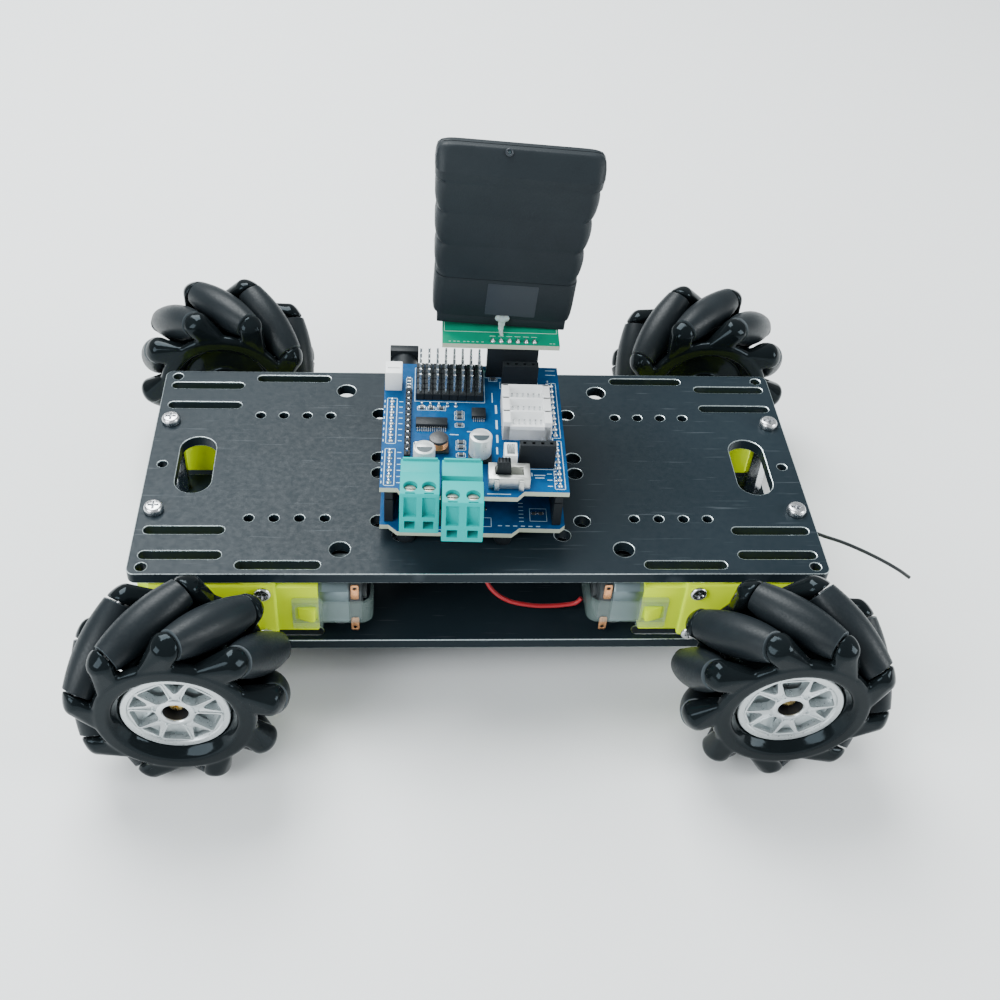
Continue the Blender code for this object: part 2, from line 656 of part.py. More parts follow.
def make_knob(stack):
    (left, front), (right, back) = KNOB
    base_z = SHIELD_TOP + 1.5
    stem = box((left, front, base_z), (right, back, SHIELD_TOP + SWITCH_HEIGHT + 1.5))
    grip = hull(
        [(x, y, SHIELD_TOP + SWITCH_HEIGHT + GAP) for x in (left, right) for y in (front, back)]
        + [(x, y, KNOB_TOP) for x in (left + 0.5, right - 0.5) for y in (front + 0.4, back - 0.4)]
    )
    knob = combine("switch_knob", [stem, grip])
    middle = Vector(((left + right) / 2, (front + back) / 2, base_z)) * MM
    knob.data.transform(Matrix.Translation(-middle))
    knob.location = middle
    knob.parent = stack
    finish(knob, *GLOSS_BLACK)


def make_plug(name, stack, left, right, back, front_bottom):
    """A screw terminal plug: a flat top with two screw wells, and a slanted face with two wire holes."""
    low = SHIELD_TOP + 0.5
    top = SHIELD_TOP + 11.5
    step = back - 8.5
    body = hull(
        [
            (x, y, z)
            for x in (left, right)
            for y, z in ((back, low), (back, top), (step, top), (front_bottom, low + 4.5), (front_bottom, low))
        ]
    )
    cutters = []
    for x in (left + 2.8, right - 2.8):
        cutters.append(rod((x, step + 3.0, top - 2.0), (x, step + 3.0, top + 1.0), 1.9, sides=10))
        hole_z = SHIELD_TOP + 3.6
        cutters.append(box((x - 1.9, front_bottom - 1.0, hole_z - 1.8), (x + 1.9, front_bottom + 5.0, hole_z + 1.8)))
        cutters.append(rod((x, back + 1.0, hole_z), (x, back - 6.0, hole_z), 1.0, sides=8))
    plug = combine(name, [body, *cutters], "DIFFERENCE")
    plug.parent = stack
    finish(plug, *TURQUOISE)


def make_adapter(stack):
    (left, front), (right, back) = ADAPTER_OUTLINE
    board = box((left, front, ADAPTER_LOW), (right, back, ADAPTER_LOW + BOARD_THICK))
    (x_low, y_low), (x_high, y_high) = ADAPTER_HEADER
    y = (y_low + y_high) / 2
    pins = []
    for number in range(6):
        x = (x_low + x_high) / 2 + (number - 2.5) * PIN_PITCH
        low = (x - PIN_HALF, y - PIN_HALF, ADAPTER_LOW - 6.0)
        pins.append(box(low, (x + PIN_HALF, y + PIN_HALF, ADAPTER_LOW + 0.5)))
    adapter = combine("receiver_adapter", [board, merged(pins)])
    adapter.parent = stack
    finish(adapter, *BOARD_GREEN)


def make_receiver(stack):
    """An upright case, wider at the top, that stands on a narrower plug."""
    outline = [(21.3, 5.0), (21.7, 16.5), (24.3, 52.6), (23.0, 56.2), (18.4, 57.2)]
    ridge = [(side * x, z) for x, z in outline for side in (-1, 1)]
    faces = [(side * (x - 3.4), z - (0.0 if z < 50 else 2.0)) for x, z in outline for side in (-1, 1)]
    body = hull(
        [(x, y, z) for x, z in ridge for y in (-2.5, 2.5)] + [(x, y, z) for x, z in faces for y in (-7.0, 7.0)]
    )
    plug = hull([(x, y, z) for x in (-19.6, 19.6) for y in (-6.3, 6.3) for z in (0.0, 6.0)])
    receiver = combine("wireless_receiver", [body, plug])
    receiver.location = Vector(RECEIVER_AT) * MM
    receiver.rotation_euler = (0.0, RECEIVER_TILT, 0.0)
    receiver.parent = stack
    finish(receiver, *CHARCOAL)


def make_electronics():
    stack = bpy.data.objects.new("electronics_stack", None)
    stack.location = (STACK_AT[0] * MM, STACK_AT[1] * MM, 0.0)
    stack.rotation_euler = (0.0, 0.0, STACK_TURN)
    robot.objects.link(stack)
    make_controller(stack)
    make_shield(stack)
    make_knob(stack)
    make_plug("terminal_plug_left", stack, 5.9, 16.5, -3.0, -15.2)
    make_plug("terminal_plug_right", stack, 17.2, 28.3, -6.0, -18.2)
    make_adapter(stack)
    make_receiver(stack)


# Leads

def smooth_route(points, spacing):
    """Points at even steps along a smooth curve through the given ones."""
    ends = [2 * points[0] - points[1], *points, 2 * points[-1] - points[-2]]
    fine = []
    for before, start, end, after in zip(ends, ends[1:], ends[2:], ends[3:]):
        for step in range(16):
            t = step / 16
            fine.append(
                0.5
                * (
                    2 * start
                    + (end - before) * t
                    + (2 * before - 5 * start + 4 * end - after) * t**2
                    + (3 * start - before - 3 * end + after) * t**3
                )
            )
    fine.append(points[-1])
    length = sum((second - first).length for first, second in zip(fine, fine[1:]))
    count = max(2, round(length / spacing))
    even = [fine[0]]
    run = 0.0
    for first, second in zip(fine, fine[1:]):
        run += (second - first).length
        if run >= length * len(even) / count and len(even) < count:
            even.append(second)
    return even + [fine[-1]]


def make_lead(name, route, diameter, colour):
    curve = bpy.data.curves.new(name, "CURVE")
    curve.dimensions = "3D"
    curve.bevel_depth = diameter / 2 * MM
    curve.bevel_resolution = 2
    curve.use_fill_caps = True
    points = smooth_route([Vector(point) for point in route], 3.0 * diameter)
    spline = curve.splines.new("POLY")
    spline.points.add(len(points) - 1)
    for point, place in zip(spline.points, points):
        point.co = (*(place * MM), 1.0)
    lead = bpy.data.objects.new(name, curve)
    robot.objects.link(lead)
    finish(meshed(lead), colour, 0.4)


RED_LEAD_ROUTE = (
    (30.8, -35.9, 25.2),
    (28.8, -36.0, 23.0),
    (22.0, -36.0, 21.9),
    (15.6, -36.0, 22.2),
    (8.6, -35.8, 24.2),
    (3.4, -35.0, 28.6),
    (0.6, -32.6, 34.4),
    (-1.6, -28.6, 38.4),
    (-4.6, -24.6, 41.2),
    (-6.0, -23.0, 45.0),
    (-6.2, -22.8, 49.2),
)
RED_LEAD_DIAMETER = 1.4
BLACK_LEAD_ROUTE = (
    (70.0, -6.0, 36.5),
    (77.0, -7.4, 37.4),
    (84.0, -9.4, 37.8),
    (91.0, -12.6, 37.8),
    (98.0, -16.4, 37.2),
    (105.6, -20.0, 36.2),
    (112.0, -22.3, 35.4),
    (118.0, -24.8, 34.2),
    (124.0, -27.2, 32.4),
    (129.0, -29.2, 30.4),
    (132.6, -30.6, 28.4),
)
BLACK_LEAD_DIAMETER = 1.1


def main():
    for old in list(bpy.data.objects):
        bpy.data.objects.remove(old)
    bpy.context.scene.collection.children.link(robot)
    make_plates()
    make_standoffs()
    make_gearmotors()
    make_wheels()
    make_electronics()
    make_lead("red_lead", RED_LEAD_ROUTE, RED_LEAD_DIAMETER, (0.5, 0.02, 0.03))
    make_lead("black_lead", BLACK_LEAD_ROUTE, BLACK_LEAD_DIAMETER, (0.01, 0.01, 0.012))


main()
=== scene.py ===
"""Looks of the four wheel robot chassis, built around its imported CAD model.

Dimensions are in millimetres until a piece is made, except where a line says metres.
+X is the front, +Y the left side, +Z up, and the origin is on the floor under the chassis.
"""

import json
import math

import bmesh
import bpy
from mathutils import Matrix, Vector


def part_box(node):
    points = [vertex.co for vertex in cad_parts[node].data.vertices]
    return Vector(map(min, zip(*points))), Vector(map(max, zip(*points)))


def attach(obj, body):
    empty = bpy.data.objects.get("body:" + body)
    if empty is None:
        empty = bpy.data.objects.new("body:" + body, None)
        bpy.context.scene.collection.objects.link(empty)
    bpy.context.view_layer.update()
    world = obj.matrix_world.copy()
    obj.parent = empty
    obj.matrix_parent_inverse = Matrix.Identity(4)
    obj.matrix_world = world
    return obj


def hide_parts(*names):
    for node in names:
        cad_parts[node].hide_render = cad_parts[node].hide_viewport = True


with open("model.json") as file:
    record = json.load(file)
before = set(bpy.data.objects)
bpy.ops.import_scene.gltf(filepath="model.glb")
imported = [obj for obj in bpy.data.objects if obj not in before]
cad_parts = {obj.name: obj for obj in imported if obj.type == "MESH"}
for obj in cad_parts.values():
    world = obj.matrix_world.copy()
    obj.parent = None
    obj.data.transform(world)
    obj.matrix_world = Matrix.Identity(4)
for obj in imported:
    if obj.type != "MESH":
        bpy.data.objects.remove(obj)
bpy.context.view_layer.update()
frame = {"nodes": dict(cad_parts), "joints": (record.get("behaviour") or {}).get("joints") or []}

MM = 0.001

CORNERS = {
    "rear_right": (-1, -1),
    "front_right": (1, -1),
    "rear_left": (-1, 1),
    "front_left": (1, 1),
}
JOINTS = {joint["name"]: joint for joint in frame["joints"]}


def cad_box(node):
    """The lowest and highest corners of a CAD node, in millimetres."""
    low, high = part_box(node)
    return low / MM, high / MM


def new_object(name, data):
    made = bpy.data.objects.new(name, data)
    bpy.context.scene.collection.objects.link(made)
    return made


# Materials ------------------------------------------------------------------------------------

ROUGH_SPREAD = 0.08
BUMP_DISTANCE = 0.0003  # metres


def add_node(material, kind, **values):
    """A new shader node, with numbers on its sockets; an underscore stands for a space."""
    node = material.node_tree.nodes.new("ShaderNode" + kind)
    for socket, value in values.items():
        node.inputs[socket.replace("_", " ")].default_value = value
    return node


def colour_mix(material, second):
    mix = add_node(material, "Mix")
    mix.data_type = "RGBA"
    mix.inputs["B"].default_value = (*second, 1.0)
    return mix


def surface(
    name, colour, roughness, metallic=0.0, variation=0.12, grain=900.0, bump=0.0, patches=60.0, fixed=None
):
    """A procedural finish: patches of lighter and darker colour, uneven gloss and a fine grain."""
    material = bpy.data.materials.new(name)
    material.use_nodes = True
    link = material.node_tree.links.new
    shader = material.node_tree.nodes["Principled BSDF"]
    place = add_node(material, "TexCoord").outputs["Object"]
    cloud = add_node(material, "TexNoise", Scale=patches, Detail=6.0)
    link(place, cloud.inputs["Vector"])
    light = [min(1.0, channel * (1.0 + variation) + 0.02 * variation) for channel in colour]
    tint = colour_mix(material, light)
    tint.inputs["A"].default_value = (*[channel * (1.0 - variation) for channel in colour], 1.0)
    link(cloud.outputs["Fac"], tint.inputs["Factor"])
    link(tint.outputs["Result"], shader.inputs["Base Color"])
    smoothest, roughest = max(0.02, roughness - ROUGH_SPREAD), min(1.0, roughness + ROUGH_SPREAD)
    gloss = add_node(material, "MapRange", From_Min=0.3, From_Max=0.7, To_Min=smoothest, To_Max=roughest)
    fine = add_node(material, "TexNoise", Scale=grain, Detail=3.0)
    link(place, fine.inputs["Vector"])
    link(fine.outputs["Fac"], gloss.inputs["Value"])
    link(gloss.outputs["Result"], shader.inputs["Roughness"])
    if bump:
        rise = add_node(material, "Bump", Strength=bump, Distance=BUMP_DISTANCE)
        link(fine.outputs["Fac"], rise.inputs["Height"])
        link(rise.outputs["Normal"], shader.inputs["Normal"])
    for socket, value in {"Metallic": metallic, **(fixed or {})}.items():
        shader.inputs[socket].default_value = value
    return material


SCRATCH_SCALE = 55.0
SCRATCH_STRETCH = 26
SCRATCH_STRENGTH = 0.09


def add_scratches(material):
    """Add fine straight scratches to a finish, as lighter lines."""
    link = material.node_tree.links.new
    shader = material.node_tree.nodes["Principled BSDF"]
    size = (SCRATCH_SCALE, SCRATCH_SCALE * SCRATCH_STRETCH, SCRATCH_SCALE)
    turn = add_node(material, "Mapping", Rotation=(0.0, 0.0, 0.6), Scale=size)
    link(add_node(material, "TexCoord").outputs["Object"], turn.inputs["Vector"])
    lines = add_node(material, "TexNoise", Scale=1.0, Detail=2.0)
    link(turn.outputs["Vector"], lines.inputs["Vector"])
    pick = add_node(material, "MapRange", From_Min=0.66, From_Max=0.74, To_Max=SCRATCH_STRENGTH)
    link(lines.outputs["Fac"], pick.inputs["Value"])
    mix = colour_mix(material, (0.32, 0.36, 0.4))
    link(pick.outputs["Result"], mix.inputs["Factor"])
    link(shader.inputs["Base Color"].links[0].from_socket, mix.inputs["A"])
    link(mix.outputs["Result"], shader.inputs["Base Color"])


DULL = {"Specular IOR Level": 0.2}
SATURATED = {"Specular IOR Level": 0.07}
GLOSS = {"Specular IOR Level": 0.14, "Specular Tint": (0.7, 0.88, 1.0, 1.0)}
ANODISED = {"Specular IOR Level": 0.11}
FILM = {"Alpha": 0.2, "Transmission Weight": 0.0, "IOR": 1.46}
GLUE = {"Alpha": 0.85, "Transmission Weight": 0.3, "IOR": 1.46, "Subsurface Weight": 0.3}

# The finishes of each CAD slot, with the values that surface() takes after a name
SLOT_FINISHES = {
    "plate_metal": {
        "plate_black": ((0.009, 0.017, 0.023), 0.36, 0.0, 0.25, 700, 0.02, 25.0, ANODISED),
        # Light bare-metal colour on the rounded-over plate edges; it is also a painted highlight along them
        "cut_edge": ((0.6, 0.68, 0.7), 0.3, 0.9, 0.15, 1500, 0.03),
    },
    "steel_hardware": {
        "bright_steel": ((0.72, 0.73, 0.75), 0.24, 1.0, 0.1, 2500, 0.03),
        # Near-black lining of the hub cap's bore: painted shade in the hole, not the cap's own colour
        "dark_recess": ((0.02, 0.02, 0.022), 0.5, 0.3),
        "brass_screw": ((0.72, 0.55, 0.22), 0.28, 1.0, 0.15, 1800, 0.04),
        "copper": ((0.75, 0.36, 0.17), 0.3, 1.0, 0.15, 1800, 0.04),
        "motor_can": ((0.2, 0.26, 0.28), 0.4, 0.8, 0.05, 1200, 0.0),
        "cap_silver": ((0.62, 0.66, 0.67), 0.33, 0.85, 0.08, 1500, 0.05),
        "cap_floor": ((0.42, 0.46, 0.47), 0.34, 0.8, 0.2, 900, 0.03),
        "pin_metal": ((0.72, 0.75, 0.76), 0.27, 0.95, 0.14, 2600, 0.05),
        "switch_metal": ((0.6, 0.61, 0.58), 0.36, 0.8, 0.08, 1600, 0.05),
        "screw_grey": ((0.38, 0.38, 0.33), 0.42, 0.85, 0.18, 2200, 0.08),
        "ferrite": ((0.045, 0.045, 0.047), 0.38, 0.2, 0.25, 1800, 0.1),
        "can_white": ((0.72, 0.76, 0.76), 0.34, 0.4, 0.06, 1400, 0.04),
    },
    "gearbox_plastic": {
        "gearbox_yellow": ((0.74, 0.95, 0.0), 0.38, 0.0, 0.06, 1400, 0.05, 60.0, SATURATED),
        "clear_strap": ((0.3, 0.4, 0.38), 0.12, 0.0, 0.04, 700, 0.03, 60.0, FILM),
        "motor_end_cap": ((0.06, 0.07, 0.075), 0.4, 0.0, 0.1, 1500, 0.05),
    },
    "wheel_plastic": {
        "wheel_gloss_black": ((0.002, 0.004, 0.005), 0.1, 0.0, 0.3, 500, 0.02, 60.0, GLOSS),
    },
    "roller_rubber": {
        "roller_rubber": ((0.008, 0.012, 0.015), 0.4, 0.0, 0.22, 1600, 0.12, 120.0, DULL),
        "roller_ring": ((0.05, 0.065, 0.075), 0.5, 0.0, 0.15, 1500, 0.06),
    },
    "board_blue": {
        "mask_blue": ((0.0, 0.065, 0.2), 0.36, 0.0, 0.35, 2600, 0.05, 420.0, SATURATED),
        "bare_board": ((0.5, 0.54, 0.42), 0.6, 0.0, 0.12, 2600, 0.08),
        "print_white": ((0.5, 0.68, 0.8), 0.5, 0.0, 0.05, 2600, 0.04),
        "ceramic": ((0.05, 0.055, 0.06), 0.45, 0.0, 0.2, 2600, 0.05),
        "tan_part": ((0.45, 0.33, 0.18), 0.45, 0.0, 0.2, 2600, 0.05),
    },
    "board_green": {
        "mask_green": ((0.0, 0.27, 0.15), 0.36, 0.0, 0.16, 2600, 0.04, 300.0, SATURATED),
        "print_pale": ((0.4, 0.75, 0.58), 0.5, 0.0, 0.05, 2600, 0.04),
    },
    "terminal_plastic": {
        "black_part": ((0.009, 0.012, 0.015), 0.45, 0.0, 0.2, 2200, 0.1, 60.0, DULL),
        "white_part": ((0.98, 0.99, 0.99), 0.42, 0.0, 0.04, 1800, 0.05),
        "turquoise": ((0.0, 0.42, 0.4), 0.38, 0.0, 0.05, 1700, 0.05, 60.0, SATURATED),
    },
    "case_plastic": {
        "charcoal": ((0.012, 0.017, 0.021), 0.48, 0.0, 0.14, 1900, 0.14, 90.0, DULL),
        "label_grey": ((0.02, 0.026, 0.034), 0.38, 0.0, 0.1, 1500, 0.05),
        "print_dark": ((0.03, 0.05, 0.06), 0.4, 0.0, 0.1, 2600, 0.04),
        "glue": ((0.68, 0.72, 0.66), 0.2, 0.0, 0.08, 700, 0.1, 60.0, GLUE),
    },
    "red_insulation": {"red_lead": ((0.42, 0.012, 0.02), 0.36, 0.0, 0.1, 1700, 0.05)},
    "black_insulation": {"black_lead": ((0.014, 0.018, 0.02), 0.4, 0.0, 0.2, 1700, 0.06)},
}
MATERIALS = {}
for slot_name, finishes in SLOT_FINISHES.items():
    for finish_name, looks in finishes.items():
        MATERIALS[finish_name] = surface(finish_name, *looks)
add_scratches(MATERIALS["plate_black"])


# Camera and light -----------------------------------------------------------------------------

CAMERA_AT = Vector((-26.40, -287.94, 308.69))
CAMERA_RIGHT = Vector((0.99783, -0.04505, 0.04807))
CAMERA_UP = Vector((-0.00378, 0.68929, 0.72447))
CAMERA_LENS = 45.63
CAMERA_SHIFT = (0.0254, -0.0079)
LIGHT_AIM = Vector((0.0, 0.0, 0.03))  # metres
# Name, place and width in metres, power and colour
LIGHTS = (
    ("key", (-0.25, 0.55, 0.95), 0.7, 22.0, (0.95, 0.99, 1.0)),
    ("fill", (-0.7, -0.5, 0.6), 0.6, 10.0, (0.93, 0.98, 1.0)),
    ("right", (0.9, -0.25, 0.45), 0.45, 7.0, (0.95, 0.99, 1.0)),
)


def make_camera():
    data = bpy.data.cameras.new("camera")
    data.sensor_width = 36.0
    data.lens = CAMERA_LENS
    data.shift_x, data.shift_y = CAMERA_SHIFT
    data.clip_start = 0.01
    camera = new_object("camera", data)
    back = CAMERA_RIGHT.cross(CAMERA_UP).normalized()
    up = back.cross(CAMERA_RIGHT).normalized()
    turn = Matrix((CAMERA_RIGHT.normalized(), up, back)).transposed().to_4x4()
    camera.matrix_world = Matrix.Translation(CAMERA_AT * MM) @ turn
    bpy.context.scene.camera = camera


def make_stage():
    world = bpy.data.worlds.new("studio")
    world.use_nodes = True
    shade = world.node_tree.nodes["Background"]
    shade.inputs["Color"].default_value = (0.93, 0.98, 1.0, 1.0)
    shade.inputs["Strength"].default_value = 0.55
    bpy.context.scene.world = world
    for name, place, size, energy, colour in LIGHTS:
        data = bpy.data.lights.new(name, "AREA")
        data.size, data.energy, data.color = size, energy, colour
        lamp = new_object(name, data)
        lamp.location = place
        lamp.rotation_euler = (LIGHT_AIM - Vector(place)).to_track_quat("-Z", "Y").to_euler()
    bpy.ops.mesh.primitive_grid_add(x_subdivisions=2, y_subdivisions=2, size=6.0)
    floor = bpy.context.object
    floor.name = "floor"
    floor.data.materials.append(surface("floor_white", (0.93, 0.94, 0.94), 0.6, variation=0.01))


# Shapes ---------------------------------------------------------------------------------------

def at(x, y, z):
    return Matrix.Translation((x, y, z))


def turned(degrees, axis):
    return Matrix.Rotation(math.radians(degrees), 4, axis)


def moved(bm, matrix):
    bmesh.ops.transform(bm, matrix=matrix, verts=bm.verts)
    return bm


def to_mesh(bm, name="part"):
    """A bmesh as a mesh; the bmesh is freed."""
    mesh = bpy.data.meshes.new(name)
    bm.to_mesh(mesh)
    bm.free()
    return mesh


def joined(*parts):
    """Several bmeshes as one, with their material numbers kept."""
    whole = bmesh.new()
    for part in parts:
        mesh = to_mesh(part)
        whole.from_mesh(mesh)
        bpy.data.meshes.remove(mesh)
    return whole


def evaluated(obj):
    """What an object's modifiers or curve make, as a bmesh; the object is removed."""
    bpy.context.view_layer.update()
    mesh = bpy.data.meshes.new_from_object(obj.evaluated_get(bpy.context.evaluated_depsgraph_get()))
    bpy.data.objects.remove(obj)
    bm = bmesh.new()
    bm.from_mesh(mesh)
    bpy.data.meshes.remove(mesh)
    return bm


def bevelled(bm, width, segments=2, angle=25.0):
    """Round the edges of a bmesh that are sharper than an angle in degrees."""
    if width <= 0.0:
        return bm
    sharp = [
        edge
        for edge in bm.edges
        if len(edge.link_faces) == 2 and edge.calc_face_angle(0.0) > math.radians(angle)
    ]
    bmesh.ops.bevel(
        bm, geom=sharp, offset=width, segments=segments, profile=0.5, affect="EDGES", clamp_overlap=True
    )
    return bm


def block(low, high, bevel=0.0, segments=2):
    low = Vector(low)
    high = Vector(high)
    bm = bmesh.new()
    bmesh.ops.create_cube(bm, size=1.0, matrix=Matrix.LocRotScale((low + high) / 2, None, high - low))
    return bevelled(bm, bevel, segments)


def tile(x, y, half_x, half_y, low, high, bevel=0.0, segments=2):
    """A block round an upright line."""
    return block((x - half_x, y - half_y, low), (x + half_x, y + half_y, high), bevel, segments)


def bar(start, end, radius, end_radius=None, sides=24, bevel=0.0):
    """A round or tapered bar between two points."""
    start = Vector(start)
    end = Vector(end)
    bm = bmesh.new()
    bmesh.ops.create_cone(
        bm,
        cap_ends=True,
        segments=sides,
        radius1=radius,
        radius2=radius if end_radius is None else end_radius,
        depth=(end - start).length,
        matrix=Matrix.LocRotScale((start + end) / 2, (end - start).to_track_quat("Z", "Y"), None),
    )
    return bevelled(bm, bevel, angle=50.0 if sides > 8 else 25.0)


def post(x, y, low, high, radius, sides=24, bevel=0.0):
    """An upright bar."""
    return bar((x, y, low), (x, y, high), radius, None, sides, bevel)


def lathe(profile, steps=48):
    """A profile of (radius, height) points turned round Z."""
    bm = bmesh.new()
    points = [bm.verts.new((radius, 0.0, height)) for radius, height in profile]
    edges = [bm.edges.new(pair) for pair in zip(points, points[1:])]
    around = {"cent": (0, 0, 0), "axis": (0, 0, 1), "angle": math.tau, "steps": steps}
    bmesh.ops.spin(bm, geom=[*points, *edges], use_merge=True, **around)
    bmesh.ops.remove_doubles(bm, verts=bm.verts, dist=0.0001)
    bmesh.ops.recalc_face_normals(bm, faces=bm.faces)
    return bm


def hull(points):
    bm = bmesh.new()
    for point in points:
        bm.verts.new(point)
    found = bmesh.ops.convex_hull(bm, input=bm.verts)
    loose = set(found["geom_interior"]) | set(found["geom_unused"])
    bmesh.ops.delete(bm, geom=[item for item in loose if isinstance(item, bmesh.types.BMVert)])
    return bm


def loft(sections):
    """A closed skin through a row of loops that have as many points as each other."""
    bm = bmesh.new()
    rows = [[bm.verts.new(point) for point in section] for section in sections]
    for first, second in zip(rows, rows[1:]):
        for index in range(len(first)):
            following = index - len(first) + 1
            bm.faces.new((first[index], first[following], second[following], second[index]))
    bm.faces.new(rows[0])
    bm.faces.new(reversed(rows[-1]))
    bmesh.ops.recalc_face_normals(bm, faces=bm.faces)
    return bm


def sheet(outline, low, high, holes=(), bevel=0.0):
    """A flat outline with holes through it, between two heights, with its edges rounded over."""
    curve = bpy.data.curves.new("outline", "CURVE")
    curve.dimensions = "2D"
    curve.fill_mode = "BOTH"
    curve.extrude = (high - low) / 2 - bevel
    curve.bevel_depth = bevel
    curve.bevel_resolution = 1
    curve.offset = -bevel
    for loop in (outline, *holes):
        spline = curve.splines.new("POLY")
        spline.points.add(len(loop) - 1)
        spline.use_cyclic_u = True
        for point, (x, y) in zip(spline.points, loop):
            point.co = (x, y, 0.0, 1.0)
    bm = evaluated(new_object("outline", curve))
    bmesh.ops.remove_doubles(bm, verts=bm.verts, dist=0.002)
    bmesh.ops.translate(bm, vec=(0.0, 0.0, (low + high) / 2), verts=bm.verts)
    bmesh.ops.recalc_face_normals(bm, faces=bm.faces)
    return bm


def arc(centre, radius, start, end, steps):
    """Points round part of a circle, in degrees."""
    turns = [math.radians(start + (end - start) * step / steps) for step in range(steps + 1)]
    return [(centre[0] + radius * math.cos(turn), centre[1] + radius * math.sin(turn)) for turn in turns]


def circle(x, y, radius, sides=24):
    return arc((x, y), radius, 0, 360, sides)[:-1]


def slot_outline(low, high, half, steps=8):
    """A slot with round ends between two end points of its edge."""
    start = Vector(low)
    end = Vector(high)
    along = math.degrees(math.atan2(end.y - start.y, end.x - start.x))
    inset = (end - start).normalized() * half
    return arc(end - inset, half, along - 90, along + 90, steps) + arc(
        start + inset, half, along + 90, along + 270, steps
    )


def rounded_rectangle(low, high, corner, steps=4):
    left, front = low[0] + corner, low[1] + corner
    right, back = high[0] - corner, high[1] - corner
    points = []
    for number, centre in enumerate(((right, back), (left, back), (left, front), (right, front))):
        points += arc(centre, corner, 90 * number, 90 * number + 90, steps)
    return points


def carve(bm, cutters):
    """Cut shapes out of a bmesh."""
    body = new_object("carved", to_mesh(bm))
    tools = [new_object("cutter", to_mesh(cutter)) for cutter in cutters]
    for tool in tools:
        step = body.modifiers.new("cut", "BOOLEAN")
        step.operation = "DIFFERENCE"
        step.object = tool
    done = evaluated(body)
    for tool in tools:
        bpy.data.objects.remove(tool)
    return done


def remeshed(bm, voxel, smoothing):
    """One smooth moulded skin over overlapping shapes."""
    made = new_object("moulding", to_mesh(bm))
    skin = made.modifiers.new("skin", "REMESH")
    skin.mode = "VOXEL"
    skin.voxel_size = voxel
    relax = made.modifiers.new("relax", "SMOOTH")
    relax.factor = 0.5
    relax.iterations = smoothing
    return evaluated(made)


def finished_mesh(name, bm, finishes, smooth):
    """A bmesh in millimetres as a mesh in metres, with its materials."""
    bmesh.ops.scale(bm, vec=(MM, MM, MM), verts=bm.verts)
    bmesh.ops.recalc_face_normals(bm, faces=bm.faces)
    mesh = to_mesh(bm, name)
    mesh.shade_smooth()
    mesh.set_sharp_from_angle(angle=math.radians(smooth))
    for finish in finishes:
        mesh.materials.append(MATERIALS[finish])
    return mesh


def settle(made, body, replaces):
    """Put a finished object on its body, in the place of a CAD node if it names one."""
    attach(made, body)
    if replaces:
        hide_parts(replaces)


def piece(name, bm, finishes, replaces=None, body="chassis", place=None, smooth=35.0):
    """Make a bmesh into a finished piece with its finishes, on its body."""
    if place is not None:
        moved(bm, place)
    finishes = finishes.split()
    made = new_object(name, finished_mesh(name, bm, finishes, smooth))
    settle(made, body, replaces)


# Plates and standoffs -------------------------------------------------------------------------

CORNER_HOLE = (96.0, 42.6, 1.6)
STANDOFF_HOLE = (95.4, 20.0, 1.6)
BIG_HOLE = (41.0, 35.8, 3.0)
FOOT_HOLES_X = (45.7, 53.1, 60.5, 67.8)
FOOT_HOLES_Y = 23.2
LONG_SLOTS_X = (74.2, 97.4)
EDGE_SLOT_X = (46.2, 70.2)
SLOTS_XY = ((LONG_SLOTS_X, 28.1), (LONG_SLOTS_X, 38.0), (EDGE_SLOT_X, 41.9))
SLOT_HALF = 1.6
CABLE_HOLE = (85.6, 12.6, 5.45)
END_HOLE = (95.6, 1.5)
BOARD_HOLES = ((30.0, 24.3, 2.4), (30.0, 3.5, 2.4), (23.6, 30.0, 2.4))
LEAD_HOLE = (-6.0, -23.0, 3.0)
EDGE_BREAK = 0.22


def plate_holes():
    holes = []
    for side_x in (-1, 1):
        for side_y in (-1, 1):
            for x, y, radius in (CORNER_HOLE, BIG_HOLE, STANDOFF_HOLE):
                holes.append(circle(side_x * x, side_y * y, radius, 32))
            for x in FOOT_HOLES_X:
                holes.append(circle(side_x * x, side_y * FOOT_HOLES_Y, 1.5, 24))
            for (low, high), y in SLOTS_XY:
                ends = (side_x * low, side_y * y), (side_x * high, side_y * y)
                holes.append(slot_outline(*ends, SLOT_HALF))
        x, run, half = CABLE_HOLE
        holes.append(slot_outline((side_x * x, -run), (side_x * x, run), half, 16))
        holes.append(circle(side_x * END_HOLE[0], 0.0, END_HOLE[1], 24))
    return holes


def make_plate(node, extra_holes):
    low, high = cad_box(node)
    outline = rounded_rectangle(low[:2], high[:2], 2.5, 6)
    bm = sheet(outline, low.z, high.z, plate_holes() + extra_holes, EDGE_BREAK)
    # The sloped faces of the rounded edges get the light edge colour: bare metal, and also a painted
    # highlight
    for face in bm.faces:
        face.material_index = 1 if 0.2 < abs(face.normal.z) < 0.98 else 0
    piece(f"{node}_sheet", bm, "plate_black cut_edge", node, smooth=20.0)


def make_plates():
    board_holes = [
        circle(side_x * x, side_y * y, radius, 28)
        for side_x in (-1, 1)
        for side_y in (-1, 1)
        for x, y, radius in BOARD_HOLES
    ]
    make_plate("bottom_plate", [])
    make_plate("top_plate", board_holes + [circle(*LEAD_HOLE, 28)])


def cross_recess(radius, depth, top):
    """The two crossed wedges of a Phillips recess, as cutters."""
    parts = []
    for along, across in ((radius, radius * 0.22), (radius * 0.22, radius)):
        corners = [(x, y) for x in (-along, along) for y in (-across, across)]
        points = [(x, y, top + 0.2) for x, y in corners]
        parts.append(hull(points + [(x * 0.45, y * 0.45, top - depth) for x, y in corners]))
    return parts


